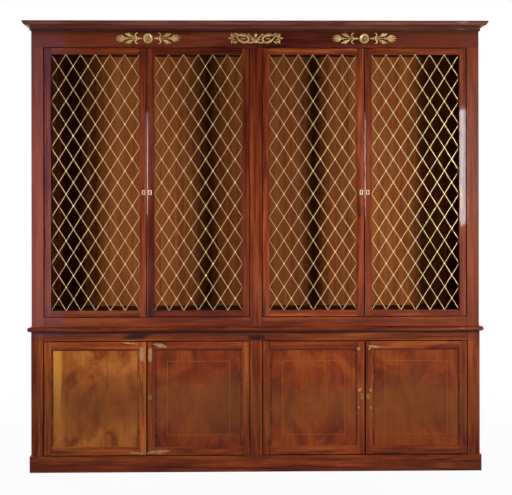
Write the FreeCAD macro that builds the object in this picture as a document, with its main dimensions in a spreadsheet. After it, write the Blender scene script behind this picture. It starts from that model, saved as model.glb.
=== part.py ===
import FreeCAD, Part
import Sketcher

import math
import os
import re

# Four-door bookcase in two cases: lattice doors above, panelled cupboard doors below.
# X runs to the right along the front, Y back to the wall, Z up. The origin is on the floor,
# under the middle of the whole piece. All lengths are in millimetres.

Vector = FreeCAD.Vector
doc = FreeCAD.newDocument("bookcase")

# Driving sizes
SIZES = {
    # both cases
    "case_width": 2390,
    "lower_depth": 440,
    "upper_setback": 20,
    "side_thick": 26,
    "partition_thick": 26,
    "board_thick": 22,
    "housing_depth": 8,
    "front_thick": 24,
    "post_width": 64,
    "post_tenon_length": 20,
    "post_tenon_thick": 8,
    "post_tenon_shoulder": 10,
    # plinth
    "plinth_height": 86,
    "plinth_projection": 8,
    "plinth_lap": 4,
    # lower case
    "lower_opening": 611,
    "lower_rail_height": 50,
    "shelf_height": 300,
    "shelf_setback": 30,
    "shelf_play": 1,
    "bearer_width": 20,
    "bearer_height": 28,
    # waist
    "waist_thick": 24,
    "waist_projection": 19,
    # upper case
    "base_rail_height": 49,
    "upper_opening": 1441,
    "floor_rise": 34,
    "ceiling_drop": 12,
    "frieze_height": 90,
    "dust_board_thick": 10,
    # shelf racks in the upper case
    "rack_width": 24,
    "rack_thick": 12,
    "rack_setback": 30,
    "notch_pitch": 280,
    "notch_depth": 9,
    "notch_height": 14,
    # cornice
    "cornice_height": 49,
    "cornice_projection": 46,
    "cornice_bed": 16,
    "cornice_fillet": 8,
    "cornice_lip": 4,
    "cornice_listel_height": 8,
    "cornice_listel_projection": 8,
    "cornice_quirk": 2,
    # framed backs
    "back_thick": 20,
    "back_rebate": 12,
    "back_outer_stile": 84,
    "back_middle_stile": 124,
    "back_rail_width": 90,
    "back_panel_thick": 8,
    "back_groove": 10,
    # doors
    "door_gap": 2,
    "stop_gap": 2,
    "door_tenon_length": 24,
    "door_tenon_thick": 6,
    "door_tenon_shoulder": 8,
    "upper_stile_width": 38,
    "upper_rail_width": 35,
    "lower_stile_width": 40,
    "lower_rail_width": 40,
    # lattice
    "grille_lip": 12,
    "grille_rebate": 9,
    "grille_border": 8,
    "grille_columns": 6,
    "grille_rows": 11,
    "strip_width": 3,
    "strip_thick": 1.6,
    # lower door panels
    "panel_recess": 7,
    "panel_thick": 10,
    "panel_tongue": 8,
    "moulding_width": 7,
    "moulding_height": 5,
    "moulding_bevel": 4,
    "stringing_margin": 66,
    "stringing_width": 2.5,
    "stringing_thick": 1.2,
    # pivot hinges
    "pivot_from_edge": 7.5,
    "pivot_from_front": 5,
    "pivot_plate_length": 32,
    "pivot_plate_width": 8,
    "pivot_plate_thick": 3,
    "pivot_plate_end": 1,
    "socket_thick": 5,
    "bore_sides": 6,
    "pin_radius": 2.5,
    "pin_play": 0.05,
    "pin_end_gap": 0.4,
    # locks and escutcheons
    "upper_lock_height": 667,
    "lower_lock_height": 312,
    "lock_width": 27,
    "lock_case_height": 58,
    "lock_thick": 10,
    "bolt_length": 18,
    "bolt_height": 14,
    "bolt_thick": 5,
    "bolt_play": 0.15,
    "bolt_travel": 9,
    "keep_play": 0.6,
    "keep_end_gap": 2,
    "key_inset": 16,
    "key_radius": 2.5,
    "key_slot_width": 2.4,
    "key_slot_length": 7,
    "blind_key_depth": 9,
    "escutcheon_width": 17,
    "escutcheon_height": 25,
    "upper_escutcheon_corner": 2.5,
    "lower_escutcheon_corner": 6,
    "escutcheon_thick": 1.6,
    # brass edge strip on the upper pairs
    "edge_strip_width": 4,
    "edge_strip_bulge": 1.6,
    # gilt mounts on the frieze
    "mount_relief": 4,
    "mount_lift": 4,
    "left_mount_shift": 8,
    "rosette_radius": 25,
    "rosette_boss": 8,
    "rosette_boss_radius": 13,
    "spray_gap": 9,
    "spray_reach": 174,
    "spray_height": 60,
    "centre_mount_reach": 152,
    "centre_mount_height": 64,
}

# Places worked out from the driving sizes
PLACES = {
    "half_width": "case_width / 2",
    "inner_half": "half_width - side_thick",
    "half_partition": "partition_thick / 2",
    "wall": "(lower_depth - upper_setback + cornice_projection) / 2",
    "back_face": "wall - back_thick",
    "lower_front": "wall - lower_depth",
    "lower_behind": "lower_front + front_thick",
    "upper_front": "lower_front + upper_setback",
    "upper_behind": "upper_front + front_thick",
    "plinth_thick": "plinth_projection + front_thick + stop_gap + plinth_lap",
    "lower_head": "plinth_height + lower_opening",
    "lower_top": "lower_head + lower_rail_height",
    "waist_level": "lower_top + waist_thick",
    "upper_sill": "waist_level + base_rail_height",
    "upper_head": "upper_sill + upper_opening",
    "frieze_top": "upper_head + frieze_height",
    "floor_level": "upper_sill + floor_rise",
    "ceiling_level": "upper_head - ceiling_drop",
    "lower_floor_level": "plinth_height + board_thick",
    "shelf_level": "lower_floor_level + shelf_height",
    "bay_width": "(case_width - 3 * post_width) / 2",
    "leaf_width": "(bay_width - 3 * door_gap) / 2",
    "leaf_one": "post_width - half_width + door_gap",
    "leaf_two": "leaf_one + leaf_width + door_gap",
    "leaf_three": "post_width / 2 + door_gap",
    "leaf_four": "leaf_three + leaf_width + door_gap",
    "bay_middle": "(inner_half + half_partition) / 2",
    "meeting_middle": "(post_width / 2 + half_width - post_width) / 2",
    "upper_low": "upper_sill + door_gap",
    "upper_high": "upper_head - door_gap",
    "lower_low": "plinth_height + door_gap",
    "lower_high": "lower_head - door_gap",
    "upper_lock_level": "upper_sill + upper_lock_height",
    "lower_lock_level": "plinth_height + lower_lock_height",
    "grille_wide": "leaf_width - 2 * upper_stile_width",
    "grille_tall": "upper_high - upper_low - 2 * upper_rail_width",
    "diamond_wide": "grille_wide / grille_columns",
    "diamond_tall": "grille_tall / grille_rows",
}

sizes = doc.addObject("Spreadsheet::Sheet", "Sizes")
places = doc.addObject("Spreadsheet::Sheet", "Places")
ADDRESS = {name: f"Sizes.{name}" for name in SIZES}
ADDRESS.update({name: f"Places.{name}" for name in PLACES})


def bound(text):
    """Write the sheet's name before each size or place that an expression names."""
    return re.sub(r"[a-z_]+", lambda word: ADDRESS.get(word.group(), word.group()), str(text))


for row, (alias, value) in enumerate(SIZES.items(), start=1):
    sizes.set(f"A{row}", alias)
    sizes.set(f"B{row}", str(value))
    sizes.setAlias(f"B{row}", alias)
doc.recompute()
for row, (alias, formula) in enumerate(PLACES.items(), start=1):
    places.set(f"A{row}", alias)
    places.set(f"B{row}", "=" + bound(formula).replace("Places.", ""))
    places.setAlias(f"B{row}", alias)
    doc.recompute()


def number(text):
    """The present value of an expression."""
    return float(places.evalExpression(bound(text)))


# Ways of making a piece
def place(piece, x, y, z):
    """Bind the piece's origin to three expressions."""
    for axis, text in zip("xyz", (x, y, z)):
        piece.setExpression(f"Placement.Base.{axis}", bound(text))


def box(label, low, high):
    """A board between two opposite corners, given as expressions."""
    board = doc.addObject("Part::Box", label)
    for side, start, end in zip(("Length", "Width", "Height"), low, high):
        board.setExpression(side, bound(f"({end}) - ({start})"))
    place(board, *low)
    return board


def rod(label, base, radius, length):
    """A round upright bar from a base point."""
    bar = doc.addObject("Part::Cylinder", label)
    bar.setExpression("Radius", bound(radius))
    bar.setExpression("Height", bound(length))
    place(bar, *base)
    return bar


def bore(label, base, radius, length, along="z"):
    """The room for a many-sided hole, upwards or back along Y, with its radius to the flats."""
    hole = doc.addObject("Part::Prism", label)
    hole.setExpression("Polygon", bound("bore_sides"))
    hole.setExpression("Circumradius", bound(f"({radius}) / cos(180 deg / bore_sides)"))
    hole.setExpression("Height", bound(length))
    if along == "y":
        hole.Placement = FreeCAD.Placement(Vector(), FreeCAD.Rotation(Vector(1, 0, 0), -90))
    place(hole, *base)
    return hole


def group(label, pieces):
    """Separate solids kept together under one name."""
    together = doc.addObject("Part::Compound", label)
    together.Links = list(pieces)
    return together


def fuse(label, *pieces):
    joined = doc.addObject("Part::MultiFuse", label)
    joined.Shapes = list(pieces)
    joined.Refine = True
    return joined


def cut(label, blank, *tools):
    """The blank with the room for its neighbours taken out of it."""
    piece = doc.addObject("Part::Cut", label)
    piece.Base = blank
    piece.Tool = tools[0] if len(tools) == 1 else group(label + "_room", tools)
    piece.Refine = True
    return piece


def common(label, first, second):
    shared = doc.addObject("Part::Common", label)
    shared.Base = first
    shared.Tool = second
    return shared


def origin_feature(body, role):
    return next(item for item in body.Origin.OriginFeatures if item.Role == role)


def sketch_on(body, plane):
    sketch = body.newObject("Sketcher::SketchObject", body.Name + "_sketch")
    sketch.AttachmentSupport = [(origin_feature(body, plane), "")]
    sketch.MapMode = "FlatFace"
    return sketch


def add_outline(sketch, corners, arcs=None):
    """Add a closed outline whose corners are pairs of expressions.

    arcs gives, by the number of the corner that it starts from, an arc's radius and its side:
    1 swells to the left of the way round, -1 to the right.
    """
    arcs = arcs or {}
    points = [Vector(number(across), number(up), 0) for across, up in corners]
    first = sketch.GeometryCount
    count = len(corners)
    for index, start in enumerate(points):
        end = points[(index + 1) % count]
        if index in arcs:
            radius, side = arcs[index]
            chord = end - start
            rise = number(radius) - math.sqrt(max(number(radius) ** 2 - chord.Length ** 2 / 4, 0))
            left = Vector(-chord.y, chord.x, 0).normalize()
            edge = Part.Arc(start, (start + end) * 0.5 + left * rise * side, end)
        else:
            edge = Part.LineSegment(start, end)
        sketch.addGeometry(edge)
    starts = []
    for index in range(count):
        geometry = sketch.Geometry[first + index]
        at_start = (sketch.getPoint(first + index, 1) - points[index]).Length < 1e-6
        starts.append((1, 2) if at_start or geometry.TypeId == "Part::GeomLineSegment" else (2, 1))
    for index, (across, up) in enumerate(corners):
        after = (index + 1) % count
        sketch.addConstraint(Sketcher.Constraint(
            "Coincident", first + index, starts[index][1], first + after, starts[after][0]))
        for kind, text, value in (("DistanceX", across, points[index].x), ("DistanceY", up, points[index].y)):
            mark = sketch.addConstraint(Sketcher.Constraint(
                kind, -1, 1, first + index, starts[index][0], value))
            sketch.setExpression(f"Constraints[{mark}]", bound(text))
        if index in arcs:
            mark = sketch.addConstraint(Sketcher.Constraint("Radius", first + index, number(arcs[index][0])))
            sketch.setExpression(f"Constraints[{mark}]", bound(arcs[index][0]))


def pad(body, sketch, length, reverse=False):
    feature = body.newObject("PartDesign::Pad", body.Name + "_pad")
    feature.Profile = sketch
    feature.setExpression("Length", bound(length))
    feature.Reversed = reverse
    body.Tip = feature
    return feature


def profile_bar(label, plane, corners, length, arcs=None, reverse=False, turn=0):
    """A length of one profile, drawn in a plane of its own body and pushed out square to it."""
    body = doc.addObject("PartDesign::Body", label)
    sketch = sketch_on(body, plane)
    add_outline(sketch, corners, arcs)
    pad(body, sketch, length, reverse)
    body.Placement = FreeCAD.Placement(Vector(), FreeCAD.Rotation(Vector(0, 0, 1), turn))
    return body


NODES = {}


def node(name, *pieces):
    """Name a sub-part: one piece, or several separate solids of one kind."""
    piece = pieces[0] if len(pieces) == 1 else group(name, pieces)
    piece.Label = name
    NODES[name] = piece
    return piece


# Mitred surrounds
def mitre_block(label, corner_x, corner_y, low, reach, turn):
    """A block with one upright face along the mitre line, for cutting a corner at 45 degrees."""
    block = doc.addObject("Part::Box", label)
    for side in ("Length", "Width", "Height"):
        block.setExpression(side, bound(reach))
    block.Placement = FreeCAD.Placement(Vector(), FreeCAD.Rotation(Vector(0, 0, 1), turn))
    place(block, corner_x, corner_y, low)
    return block


def surround(label, corners, arcs, front, projection, low, reach):
    """A moulding along the front and both ends, mitred at the two front corners.

    The profile runs inwards from the outermost edge and upwards from its underside.
    """
    outer_left = f"-half_width - ({projection})"
    outer_right = f"half_width + ({projection})"
    outer_front = f"{front} - ({projection})"
    long = profile_bar(label + "_front_bar", "YZ_Plane", corners, f"case_width + 2 * ({projection})", arcs)
    place(long, outer_left, outer_front, low)
    return_length = f"wall - ({outer_front})"
    left = profile_bar(label + "_left_bar", "XZ_Plane", corners, return_length, arcs, reverse=True)
    place(left, outer_left, outer_front, low)
    right = profile_bar(label + "_right_bar", "XZ_Plane", corners, return_length, arcs, turn=180)
    place(right, outer_right, outer_front, low)
    start = f"({low}) - ({reach}) / 2"
    front_piece = cut(
        label + "_front", long,
        mitre_block(label + "_mitre_a", outer_left, outer_front, start, f"2 * ({reach})", 45),
        mitre_block(label + "_mitre_b", outer_right, outer_front, start, f"2 * ({reach})", 45))
    left_piece = cut(
        label + "_left", left,
        mitre_block(label + "_mitre_c", outer_left, outer_front, start, f"2 * ({reach})", -45))
    right_piece = cut(
        label + "_right", right,
        mitre_block(label + "_mitre_d", outer_right, outer_front, start, f"2 * ({reach})", 135))
    return front_piece, left_piece, right_piece


# Sockets for the door pivots, which are let into the wood above and below each door
LEAVES = (
    ("1", "leaf_one", "left"),
    ("2", "leaf_two", "right"),
    ("3", "leaf_three", "left"),
    ("4", "leaf_four", "right"),
)
TIERS = {
    "upper": ("upper_front", "upper_sill", "upper_head", "upper_low", "upper_high", "upper_lock_level"),
    "lower": ("lower_front", "plinth_height", "lower_head", "lower_low", "lower_high", "lower_lock_level"),
}


def pivot_x(left, hinge):
    """Where the pivot stands, measured from the hinged edge of a leaf."""
    if hinge == "left":
        return f"{left} + pivot_from_edge"
    return f"{left} + leaf_width - pivot_from_edge"


def plate_span(left, hinge):
    """The two ends of a pivot plate along the door's edge."""
    if hinge == "left":
        return f"{left} + pivot_plate_end", f"{left} + pivot_plate_end + pivot_plate_length"
    end = f"{left} + leaf_width - pivot_plate_end"
    return f"{end} - pivot_plate_length", end


def plate_depth(front):
    """The front and rear edges of a pivot plate."""
    middle = f"{front} + pivot_from_front"
    return f"{middle} - pivot_plate_width / 2", f"{middle} + pivot_plate_width / 2"


def socket(label, left, hinge, front, low):
    """A brass plate in the case, bored for the door's pin."""
    begin, end = plate_span(left, hinge)
    near, far = plate_depth(front)
    plate = box(label + "_plate", (begin, near, low), (end, far, f"{low} + socket_thick"))
    hole = bore(label + "_bore", (pivot_x(left, hinge), f"{front} + pivot_from_front", low),
                "pin_radius + pin_play", "socket_thick")
    return plate, cut(label, plate, hole)


socket_room = {}
socket_plates = []
for tier, (front, sill, head, low, high, lock) in TIERS.items():
    for edge, level in (("foot", f"{sill} - socket_thick"), ("head", head)):
        rooms = []
        for number_name, left, hinge in LEAVES:
            room, plate = socket(f"{tier}_{edge}_socket_{number_name}", left, hinge, front, level)
            rooms.append(room)
            socket_plates.append(plate)
        socket_room[tier, edge] = rooms
node("pivot_sockets", *socket_plates)

# Plinth: front and ends mitred, a back board and a middle bearer between them.
# The boards lap under the front edge of the floor, so no slit is left below the doors.
plinth_corners = (
    ("0", "0"), ("plinth_thick", "0"), ("plinth_thick", "plinth_height"), ("0", "plinth_height"))
plinth_front, plinth_left, plinth_right = surround(
    "plinth", plinth_corners, None, "lower_front", "plinth_projection", "0", "plinth_height + plinth_thick")
plinth_inner = "half_width + plinth_projection - plinth_thick"
plinth_back = box(
    "plinth_back",
    (f"-({plinth_inner})", "wall - plinth_thick", "0"),
    (plinth_inner, "wall", "plinth_height"))
plinth_bearer = box(
    "plinth_bearer",
    ("-plinth_thick / 2", "lower_front - plinth_projection + plinth_thick", "0"),
    ("plinth_thick / 2", "wall - plinth_thick", "plinth_height"))
node("plinth",
     cut("plinth_front_board", plinth_front, *socket_room["lower", "foot"]),
     plinth_left, plinth_right, plinth_back, plinth_bearer)


# Framed backs: stub-tenoned rails and loose panels in grooves
def framed_back(tier, low, high):
    """Five stiles, a rail above and below each of the four panels between them."""
    stiles = (
        ("-inner_half - back_rebate", "back_outer_stile - inner_half"),
        ("-bay_middle - back_middle_stile / 2", "back_middle_stile / 2 - bay_middle"),
        ("-back_middle_stile / 2", "back_middle_stile / 2"),
        ("bay_middle - back_middle_stile / 2", "bay_middle + back_middle_stile / 2"),
        ("inner_half - back_outer_stile", "inner_half + back_rebate"),
    )
    groove_front = "wall - (back_thick + back_panel_thick) / 2"
    groove_back = f"{groove_front} + back_panel_thick"
    panels = []
    rails = []
    for index in range(len(stiles) - 1):
        begin = stiles[index][1]
        end = stiles[index + 1][0]
        name = f"{tier}_back_{index + 1}"
        panel = box(
            name + "_panel",
            (f"{begin} - back_groove", groove_front, f"{low} + back_rail_width - back_groove"),
            (f"{end} + back_groove", groove_back, f"{high} - back_rail_width + back_groove"))
        panels.append(panel)
        for edge, rail_low, rail_high in (
                ("foot", low, f"{low} + back_rail_width"), ("head", f"{high} - back_rail_width", high)):
            body = box(f"{name}_{edge}_body", (begin, "back_face", rail_low), (end, "wall", rail_high))
            tongue = box(
                f"{name}_{edge}_tongue",
                (f"{begin} - back_groove", groove_front, rail_low),
                (f"{end} + back_groove", groove_back, rail_high))
            rails.append(cut(f"{name}_{edge}_rail", fuse(f"{name}_{edge}_blank", body, tongue), panel))
    uprights = []
    for index, (begin, end) in enumerate(stiles):
        blank = box(f"{tier}_back_stile_{index + 1}_blank", (begin, "back_face", low), (end, "wall", high))
        uprights.append(cut(f"{tier}_back_stile_{index + 1}", blank, *panels, *rails))
    node(f"{tier}_back_frame", *uprights, *rails)
    node(f"{tier}_back_panels", *panels)
    return box(f"{tier}_back_room", (stiles[0][0], "back_face", low), (stiles[-1][1], "wall", high))


lower_back_room = framed_back("lower", "plinth_height", "lower_top")
upper_back_room = framed_back("upper", "waist_level", "frieze_top")


# Carcasses: sides housed round the floor, the ceiling and the back
def sides(tier, front, low, high, *rooms):
    for name, begin, end in (("left", "-half_width", "-inner_half"), ("right", "inner_half", "half_width")):
        blank = box(f"{tier}_{name}_blank", (begin, front, low), (end, "wall", high))
        node(f"{tier}_{name}_side", cut(f"{tier}_{name}_board", blank, *rooms))


def level_board(label, front, low):
    return box(
        label,
        ("-inner_half - housing_depth", f"{front} + stop_gap", low),
        ("inner_half + housing_depth", "back_face", f"{low} + board_thick"))


lower_floor = level_board("lower_floor_blank", "lower_behind", "plinth_height")
lower_partition = box(
    "lower_partition_board",
    ("-half_partition", "lower_behind", "lower_floor_level - housing_depth"),
    ("half_partition", "back_face", "lower_top"))
node("lower_floor", cut("lower_floor_board", lower_floor, lower_partition))
node("lower_partition", cut("lower_partition_piece", lower_partition, box(
    "lower_partition_notch",
    ("-half_partition", "lower_behind", "lower_floor_level - housing_depth"),
    ("half_partition", "lower_behind + stop_gap", "lower_floor_level"))))
sides("lower", "lower_behind", "plinth_height", "lower_top", lower_floor, lower_back_room)

upper_floor = level_board("upper_floor_blank", "upper_behind", "floor_level - board_thick")
upper_ceiling = level_board("upper_ceiling_blank", "upper_behind", "ceiling_level")
upper_partition = box(
    "upper_partition_board",
    ("-half_partition", "upper_behind", "floor_level - housing_depth"),
    ("half_partition", "back_face", "ceiling_level + housing_depth"))
# A strip under the front edge of the upper floor fills the gap down to the base rail
upper_floor_strip = box(
    "upper_floor_strip",
    ("-inner_half", "upper_behind + stop_gap", "upper_sill"),
    ("inner_half", "upper_behind + stop_gap + board_thick", "floor_level - board_thick"))
node("upper_floor", cut("upper_floor_board", upper_floor, upper_partition), upper_floor_strip)
node("upper_ceiling", cut("upper_ceiling_board", upper_ceiling, upper_partition))
node("upper_partition", upper_partition)
sides("upper", "upper_behind", "waist_level", "frieze_top", upper_floor, upper_ceiling, upper_back_room)
node("dust_board", box(
    "dust_board_piece",
    ("cornice_bed - half_width", "upper_front + cornice_bed", "frieze_top"),
    ("half_width - cornice_bed", "wall", "frieze_top + dust_board_thick")))

# Lower shelves, one to a cupboard, lying loose on bearers
shelves = []
bearers = []
for name, begin, end in (
        ("left", "-inner_half", "-half_partition"), ("right", "half_partition", "inner_half")):
    shelf_front = "lower_behind + shelf_setback"
    shelf_back = "back_face - shelf_play"
    shelves.append(box(
        f"shelf_{name}",
        (f"{begin} + shelf_play", shelf_front, "shelf_level"),
        (f"{end} - shelf_play", shelf_back, "shelf_level + board_thick")))
    for edge, bearer_low, bearer_high in (
            ("outer", begin, f"{begin} + bearer_width"), ("inner", f"{end} - bearer_width", end)):
        bearers.append(box(
            f"bearer_{name}_{edge}",
            (bearer_low, shelf_front, "shelf_level - bearer_height"),
            (bearer_high, shelf_back, "shelf_level")))
node("lower_shelves", *shelves)
node("lower_shelf_bearers", *bearers)


# Posts and rails of the two fronts
def tenon(label, begin, end, front, low, high):
    """A tenon across the middle of the front's thickness."""
    near = f"{front} + (front_thick - post_tenon_thick) / 2"
    return box(label, (begin, near, low), (end, f"{near} + post_tenon_thick", high))


def post(label, middle, front, low, high, tenon_low, tenon_high):
    """An upright with a stub tenon at either end that has one."""
    begin = f"{middle} - post_width / 2"
    end = f"{middle} + post_width / 2"
    body = box(label + "_body", (begin, front, low), (end, f"{front} + front_thick", high))
    stub = tenon(label + "_tenon", f"{begin} + post_tenon_shoulder", f"{end} - post_tenon_shoulder",
                 front, tenon_low, tenon_high)
    return fuse(label, body, stub)


end_middle = "half_width - post_width / 2"
lower_centre_post = post(
    "lower_centre_post", "0", "lower_front", "plinth_height", "lower_head",
    "plinth_height", "lower_head + post_tenon_length")
rail_end = "half_width - post_width"
lower_rail_blank = fuse(
    "lower_rail_blank",
    box("lower_rail_body",
        (f"-({rail_end})", "lower_front", "lower_head"), (rail_end, "lower_behind", "lower_top")),
    tenon("lower_rail_tenon", f"-({rail_end}) - post_tenon_length", f"{rail_end} + post_tenon_length",
          "lower_front", "lower_head + post_tenon_shoulder", "lower_top - post_tenon_shoulder"))
lower_rail = cut("lower_rail", lower_rail_blank, lower_centre_post, *socket_room["lower", "head"])
lower_end_posts = []
for name, begin, end in (
        ("left", "-half_width", "post_width - half_width"), ("right", rail_end, "half_width")):
    blank = box(
        f"lower_{name}_post_blank",
        (begin, "lower_front", "plinth_height"), (end, "lower_behind", "lower_top"))
    lower_end_posts.append(cut(f"lower_{name}_post", blank, lower_rail_blank))
node("lower_face_frame", lower_rail, lower_centre_post, *lower_end_posts)

upper_posts = [
    post(f"upper_{name}_post", middle, "upper_front", "upper_sill", "upper_head",
         "upper_sill - post_tenon_length", "upper_head + post_tenon_length")
    for name, middle in (("left", f"-({end_middle})"), ("centre", "0"), ("right", end_middle))
]
base_rail = cut(
    "base_rail",
    box("base_rail_blank",
        ("-half_width", "upper_front", "waist_level"), ("half_width", "upper_behind", "upper_sill")),
    *upper_posts, *socket_room["upper", "foot"])
node("upper_face_frame", base_rail, *upper_posts)
node("frieze", cut(
    "frieze_board",
    box("frieze_blank",
        ("-half_width", "upper_front", "upper_head"), ("half_width", "upper_behind", "frieze_top")),
    *upper_posts, *socket_room["upper", "head"]))

# Waist top: a slab with a rounded nosing on three sides
nose = "waist_thick / 2"
nosing_corners = (
    ("waist_projection", "0"), ("waist_projection", "waist_thick"),
    (nose, "waist_thick"), ("0", nose), (nose, "0"))
waist_nosing = surround(
    "waist", nosing_corners, {2: (nose, -1), 3: (nose, -1)},
    "lower_front", "waist_projection", "lower_top", "waist_projection + waist_thick")
waist_slab = box(
    "waist_slab", ("-half_width", "lower_front", "lower_top"), ("half_width", "wall", "waist_level"))
node("waist_top", waist_slab, *waist_nosing)

# Cornice: a listel, a hollow, a round and a top fillet
hollow_in = "cornice_projection - cornice_listel_projection + cornice_quirk"
round_top = "cornice_height - cornice_fillet"
wave_across = f"({hollow_in} - cornice_lip) / 2"
wave_up = f"({round_top} - cornice_listel_height) / 2"
wave_radius = f"sqrt((({wave_across})^2 + ({wave_up})^2) / 2)"
cornice_corners = (
    ("cornice_projection + cornice_bed", "0"),
    ("cornice_projection + cornice_bed", "cornice_height"),
    ("0", "cornice_height"),
    ("0", round_top),
    ("cornice_lip", round_top),
    (f"cornice_lip + {wave_across}", f"cornice_listel_height + {wave_up}"),
    (hollow_in, "cornice_listel_height"),
    ("cornice_projection - cornice_listel_projection", "cornice_listel_height"),
    ("cornice_projection - cornice_listel_projection", "0"),
)
node("cornice", *surround(
    "cornice", cornice_corners, {4: (wave_radius, -1), 5: (wave_radius, 1)},
    "upper_front", "cornice_projection", "frieze_top", "cornice_projection + cornice_bed + cornice_height"))


# Shelf racks: notched strips in the corners of the two upper bays
def shelf_rack(label, begin, near, facing):
    """A strip with a row of notches on its front or its rear edge."""
    body = doc.addObject("PartDesign::Body", label)
    strip = sketch_on(body, "YZ_Plane")
    tall = "ceiling_level - floor_level"
    add_outline(strip, (("0", "0"), ("rack_width", "0"), ("rack_width", tall), ("0", tall)))
    pad(body, strip, "rack_thick")
    doc.recompute()
    notch = sketch_on(body, "YZ_Plane")
    mouth = "rack_width" if facing == "back" else "0"
    point = "rack_width - notch_depth" if facing == "back" else "notch_depth"
    low = "notch_pitch - notch_height"
    corners = ((mouth, low), (mouth, "notch_pitch"), (point, low))
    add_outline(notch, corners)
    pocket = body.newObject("PartDesign::Pocket", label + "_notch")
    pocket.Profile = notch
    pocket.Type = "ThroughAll"
    pocket.Midplane = True
    body.Tip = pocket
    doc.recompute()
    row = body.newObject("PartDesign::LinearPattern", label + "_notches")
    row.Originals = [pocket]
    row.Direction = (origin_feature(body, "Z_Axis"), [""])
    row.setExpression("Occurrences", bound(f"floor(({tall}) / notch_pitch) - 1"))
    row.setExpression("Length", bound(f"(floor(({tall}) / notch_pitch) - 2) * notch_pitch"))
    body.Tip = row
    place(body, begin, near, "floor_level")
    return body


racks = []
for name, wall_face, inward in (
        ("far_left", "-inner_half", True), ("mid_left", "-half_partition", False),
        ("mid_right", "half_partition", True), ("far_right", "inner_half", False)):
    begin = wall_face if inward else f"{wall_face} - rack_thick"
    racks.append(shelf_rack(f"rack_{name}_front", begin, "upper_behind + rack_setback", "back"))
    racks.append(shelf_rack(f"rack_{name}_back", begin, "back_face - rack_width", "front"))
node("shelf_racks", *racks)


# Doors
def door_frame(name, left, front, low, high, stile, rail, tenon_near, seat, room):
    """Two stiles and two tenoned rails, cut for what they hold and for the brass let into them."""
    right = f"{left} + leaf_width"
    behind = f"{front} + front_thick"
    sight_left = f"{left} + {stile}"
    sight_right = f"{right} - {stile}"
    rails = []
    for edge, rail_low, rail_high, tenon_low, tenon_high in (
            ("foot", low, f"{low} + {rail}",
             f"{low} + door_tenon_shoulder", f"{low} + {rail} - panel_tongue - door_tenon_shoulder / 2"),
            ("head", f"{high} - {rail}", high,
             f"{high} - {rail} + panel_tongue + door_tenon_shoulder / 2", f"{high} - door_tenon_shoulder")):
        body = box(f"{name}_{edge}_body", (sight_left, front, rail_low), (sight_right, behind, rail_high))
        stub = box(
            f"{name}_{edge}_tenon",
            (f"{sight_left} - door_tenon_length", tenon_near, tenon_low),
            (f"{sight_right} + door_tenon_length", f"{tenon_near} + door_tenon_thick", tenon_high))
        rails.append(cut(f"{name}_{edge}_rail", fuse(f"{name}_{edge}_blank", body, stub), seat))
    stiles = []
    for edge, begin, end in (("left", left, sight_left), ("right", sight_right, right)):
        blank = box(f"{name}_{edge}_blank", (begin, front, low), (end, behind, high))
        stiles.append(cut(f"{name}_{edge}_stile", blank, seat, *rails, *room[edge]))
    return stiles + rails


def pivots(name, left, hinge, front, low, high):
    """A plate at the foot and at the head of the hinged stile, each with its pin."""
    begin, end = plate_span(left, hinge)
    near, far = plate_depth(front)
    reach = "door_gap + socket_thick - pin_end_gap"
    plates = []
    rooms = []
    for edge, plate_low, pin_low in (
            ("foot", low, f"{low} - ({reach})"), ("head", f"{high} - pivot_plate_thick", high)):
        plate = box(
            f"{name}_{edge}_plate",
            (begin, near, plate_low), (end, far, f"{plate_low} + pivot_plate_thick"))
        pin = rod(f"{name}_{edge}_pin", (pivot_x(left, hinge), f"{front} + pivot_from_front", pin_low),
                  "pin_radius", reach)
        rooms.append(plate)
        plates.append(fuse(f"{name}_{edge}_pivot", plate, pin))
    return plates, rooms


def keyhole_corners(middle_x, middle_z):
    """An eight-sided hole with a slot below it."""
    half_slot = "key_slot_width / 2"
    half_side = "key_radius * tan(22.5 deg)"
    shape = (
        (f"-{half_slot}", "-key_slot_length"), (half_slot, "-key_slot_length"), (half_slot, "-key_radius"),
        ("key_radius", f"-{half_side}"), ("key_radius", half_side),
        (half_side, "key_radius"), (f"-{half_side}", "key_radius"),
        ("-key_radius", half_side), ("-key_radius", f"-{half_side}"), (f"-{half_slot}", "-key_radius"))
    return tuple((f"{middle_x} + ({across})", f"{middle_z} + ({up})") for across, up in shape)


def escutcheon(label, key_x, front, level, corner):
    """A brass plate with clipped corners and a keyhole, lying on the face of the stile."""
    body = doc.addObject("PartDesign::Body", label)
    wide = "escutcheon_width"
    tall = "escutcheon_height"
    plate = sketch_on(body, "XZ_Plane")
    add_outline(plate, (
        (corner, "0"), (f"{wide} - {corner}", "0"), (wide, corner), (wide, f"{tall} - {corner}"),
        (f"{wide} - {corner}", tall), (corner, tall), ("0", f"{tall} - {corner}"), ("0", corner)))
    add_outline(plate, keyhole_corners(f"{wide} / 2", f"{tall} / 2 + key_radius"))
    pad(body, plate, "escutcheon_thick")
    place(body, f"{key_x} - {wide} / 2", front, f"{level} - {tall} / 2 - key_radius")
    return body


def keyway(label, key_x, front, level, depth):
    """The key's way into the stile: a bore and a slot below it."""
    hole = bore(label + "_bore", (key_x, front, level), "key_radius", depth, along="y")
    slot = box(
        label + "_slot",
        (f"{key_x} - key_slot_width / 2", front, f"{level} - key_slot_length"),
        (f"{key_x} + key_slot_width / 2", f"{front} + {depth}", level))
    return fuse(label, hole, slot)


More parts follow.
